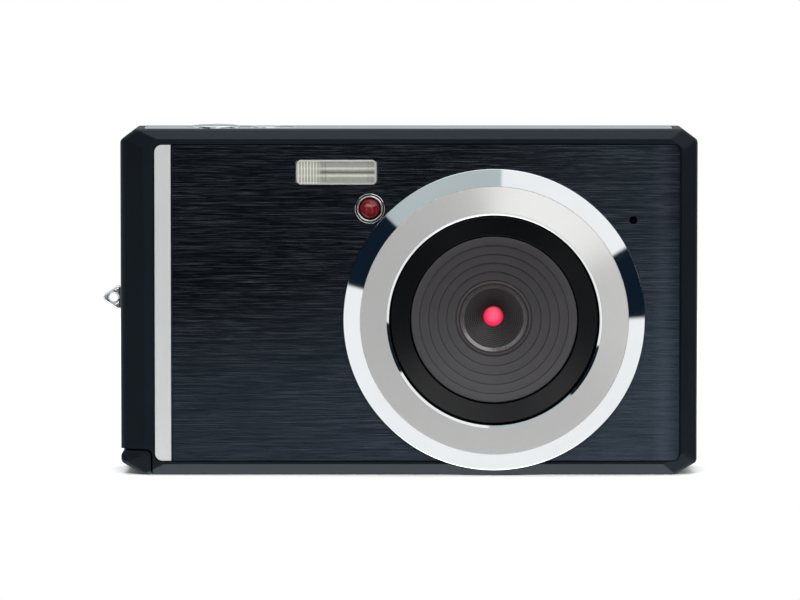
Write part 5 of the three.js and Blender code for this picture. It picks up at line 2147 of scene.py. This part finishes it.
@dataclass
class Studio:
    """Camera, lights, surroundings and floor."""

    aim: tuple[float, float, float] = (-1.41, -9.8, 27.6)
    distance: float = 900.0
    elevation: float = 3.8
    focal: float = 258.6
    front_level: float = 0.07
    table_front: float = 36.0
    table_reach: float = 210.0
    halo: float = 0.24
    panel: float = 2.8
    overhead: float = 1.3
    below: float = 4.3
    grey: Colour = (0.5, 0.56, 0.57)
    navy: Colour = (0.005, 0.012, 0.022)
    shadow: Colour = (0.12, 0.14, 0.15)

    def camera(self) -> None:
        """A long lens, level with the front and slightly above it."""
        data = bpy.data.cameras.new("camera")
        data.lens = self.focal
        data.sensor_width = 36.0
        data.clip_start, data.clip_end = 0.01, 20.0
        camera = bpy.data.objects.new("camera", data)
        tilt = math.radians(self.elevation)
        x, y, z = self.aim
        place = (x, y - self.distance * math.cos(tilt), z + self.distance * math.sin(tilt))
        camera.location = tuple(value * MM for value in place)
        camera.rotation_euler = (math.pi / 2 - tilt, 0.0, 0.0)
        bpy.context.scene.collection.objects.link(camera)
        bpy.context.scene.camera = camera

    def surroundings(self) -> None:
        """A white room that is dark in front, with a white box high on the right.

        Directions are measured from where a flat front sends the camera's view: upright is
        z + ahead * tan(elevation), the clock angle is atan2(x, upright) and reach is the square
        root of x * x + upright * upright, ahead being -y. Up to about 60 degrees the room is dark,
        but for the box between two clock angles, a faint halo close to the middle and a panel
        above it. Past that it is white, apart from a dark gap on each side and a grey stretch next
        to the left one. Straight to the right it is dark as well. The wall behind is grey, with a
        dark band high up and white over it. Glossy rays also see a stronger strip overhead and one
        below. A camera ray sees plain white.
        """
        world = bpy.data.worlds.new("white_room")
        bpy.context.scene.world = world
        world.use_nodes = True
        room = Nodes(world.node_tree)
        x, y, z = room.axes(room.node("TexCoord").outputs["Generated"])
        ahead = room.times(y, -1.0)
        upright = room.sum(z, room.times(ahead, math.tan(math.radians(self.elevation))))
        clock = room.times(room.sum(x, upright, "ARCTAN2"), 180 / math.pi)
        square = room.sum(room.times(x, x), room.times(upright, upright))
        reach = room.sum(square, 0.5, "POWER")
        sides = room.spread(ahead, (0.56, 0.42), (self.front_level, 1.0), smooth=True)
        box = room.times(
            room.window(clock, 4, 64, 1.5),
            room.spread(reach, (0.08, 0.1), smooth=True),
            room.spread(reach, (0.15, 0.25), (1.65, 0.9)),
        )
        halo = room.times(room.window(reach, 0.09, 0.19, 0.015), self.halo)
        panel = room.times(
            room.window(upright, 0.2, 0.37, 0.06),
            room.window(x, -0.4, 0.4, 0.15),
            room.spread(ahead, (0.6, 0.75), (0.0, self.panel)),
        )
        level = sides
        for part in (halo, box, panel):
            level = room.sum(level, part, "MAXIMUM")
        colour = room.blend(level, (0.0, 0.0, 0.0), (1.0, 1.0, 1.0))
        near = room.window(ahead, -0.05, 0.62, 0.05)
        grey = room.times(room.window(clock, -47, 4, 0.8), near)
        colour = room.blend(grey, colour, self.grey)
        gaps = room.sum(room.window(clock, 64, 92, 1.0), room.window(clock, -79, -47, 1.0))
        beside = room.times(room.window(clock, 82, 112, 2.0), room.window(ahead, -0.3, 0.14, 0.05))
        gaps = room.sum(room.times(gaps, near), beside, "MAXIMUM")
        colour = room.blend(gaps, colour, self.navy)
        turn = room.times(room.sum(x, ahead, "ARCTAN2"), 180 / math.pi)
        stripe = room.sum(room.window(turn, 9.5, 14, 1.2), room.window(turn, -23, -18, 1.2))
        stripe = room.times(stripe, room.window(z, -0.5, 0.45, 0.1))
        colour = room.blend(stripe, colour, (1.0, 1.0, 1.0))
        wall = room.blend(room.spread(z, (0.62, 0.84), smooth=True), self.grey, (1.0, 1.0, 1.0))
        wall = room.blend(room.window(z, 0.5, 0.64, 0.06), wall, self.shadow)
        behind = room.times(room.spread(y, (0.15, 0.3), smooth=True), room.window(x, -0.6, 0.6, 0.1))
        colour = room.blend(behind, colour, wall)
        strips = room.sum(
            room.spread(z, (0.75, 0.95), (0.0, self.overhead)),
            room.spread(z, (-0.75, -0.95), (0.0, self.below)),
        )
        path = room.node("LightPath").outputs
        strips = room.times(strips, room.window(ahead, -0.3, 0.14, 0.08), path["Is Glossy Ray"])
        colour = room.blend(strips, colour, (1.0, 1.0, 1.0), "ADD")
        colour = room.blend(path["Is Camera Ray"], colour, (1.0, 1.0, 1.0))
        room.feed(colour, world.node_tree.nodes["Background"].inputs["Color"])

    def floor(self) -> None:
        """A pale table that ends a little way in front of the camera and is clear from below."""
        reach = self.table_reach
        top = -0.02
        profile = [(0, top), (reach / 2, top), (reach, top), (reach + 5, top - 2)]
        table = Surface(Facing.TOP).turn((0, reach - self.table_front), profile, 128).build("table")
        table.data.transform(Matrix.Scale(MM, 4))
        sketch = Sketch("pale_table", (0.86, 0.86, 0.86), 0.7, Specular_IOR_Level=0.2)
        cloud = sketch.noise(60.0, detail=3)
        sketch.paint("Base Color", sketch.blend(cloud, (0.87, 0.87, 0.87), (0.89, 0.89, 0.89)))
        under = sketch.node("NewGeometry").outputs["Backfacing"]
        sketch.paint("Alpha", sketch.sum(1.0, under, "SUBTRACT"))
        table.data.materials.append(sketch.material)
        table.data.shade_smooth()
        table.visible_glossy = False

    def light(
        self, name: str, place: Sequence[float], size: Pair, power: float, target: Sequence[float]
    ) -> None:
        """One soft box, pointed at a target."""
        data = bpy.data.lights.new(name, "AREA")
        data.shape = "RECTANGLE"
        data.size, data.size_y = (value * MM for value in size)
        data.energy = power
        lamp = bpy.data.objects.new(name, data)
        lamp.location = tuple(value * MM for value in place)
        direction = Vector(target) - Vector(place)
        lamp.rotation_euler = direction.to_track_quat("-Z", "Y").to_euler()
        lamp.visible_camera = lamp.visible_glossy = False
        bpy.context.scene.collection.objects.link(lamp)

    def build(self) -> None:
        """Sets up the whole studio."""
        self.camera()
        self.surroundings()
        self.floor()
        self.light("key_soft_box", (330, -620, 450), (260, 260), 1.3, (0, 0, 27))
        self.light("front_soft_box", (-110, -620, 520), (400, 220), 4.2, (0, 0, 27))
        self.light("top_soft_box", (0, 160, 800), (700, 600), 4.8, (0, 160, 0))
        view = bpy.context.scene.view_settings
        view.view_transform = "Standard"
        view.look = "None"


# ---------------------------------------------------------------- main


def main() -> None:
    """Builds the camera piece by piece."""
    logging.basicConfig(level=logging.INFO, format="%(name)s %(message)s")
    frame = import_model()
    palette = Palette()
    Studio().build()
    for assembly in (
        Casing(palette),
        FrontPlate(palette),
        Flash(palette),
        TimerLamp(palette),
        Lens(palette),
        Trims(palette),
        Fixings(palette),
        BackPanel(palette),
        Insides(palette, frame["nodes"]),
    ):
        assembly.build()


if __name__ == "__main__":
    main()
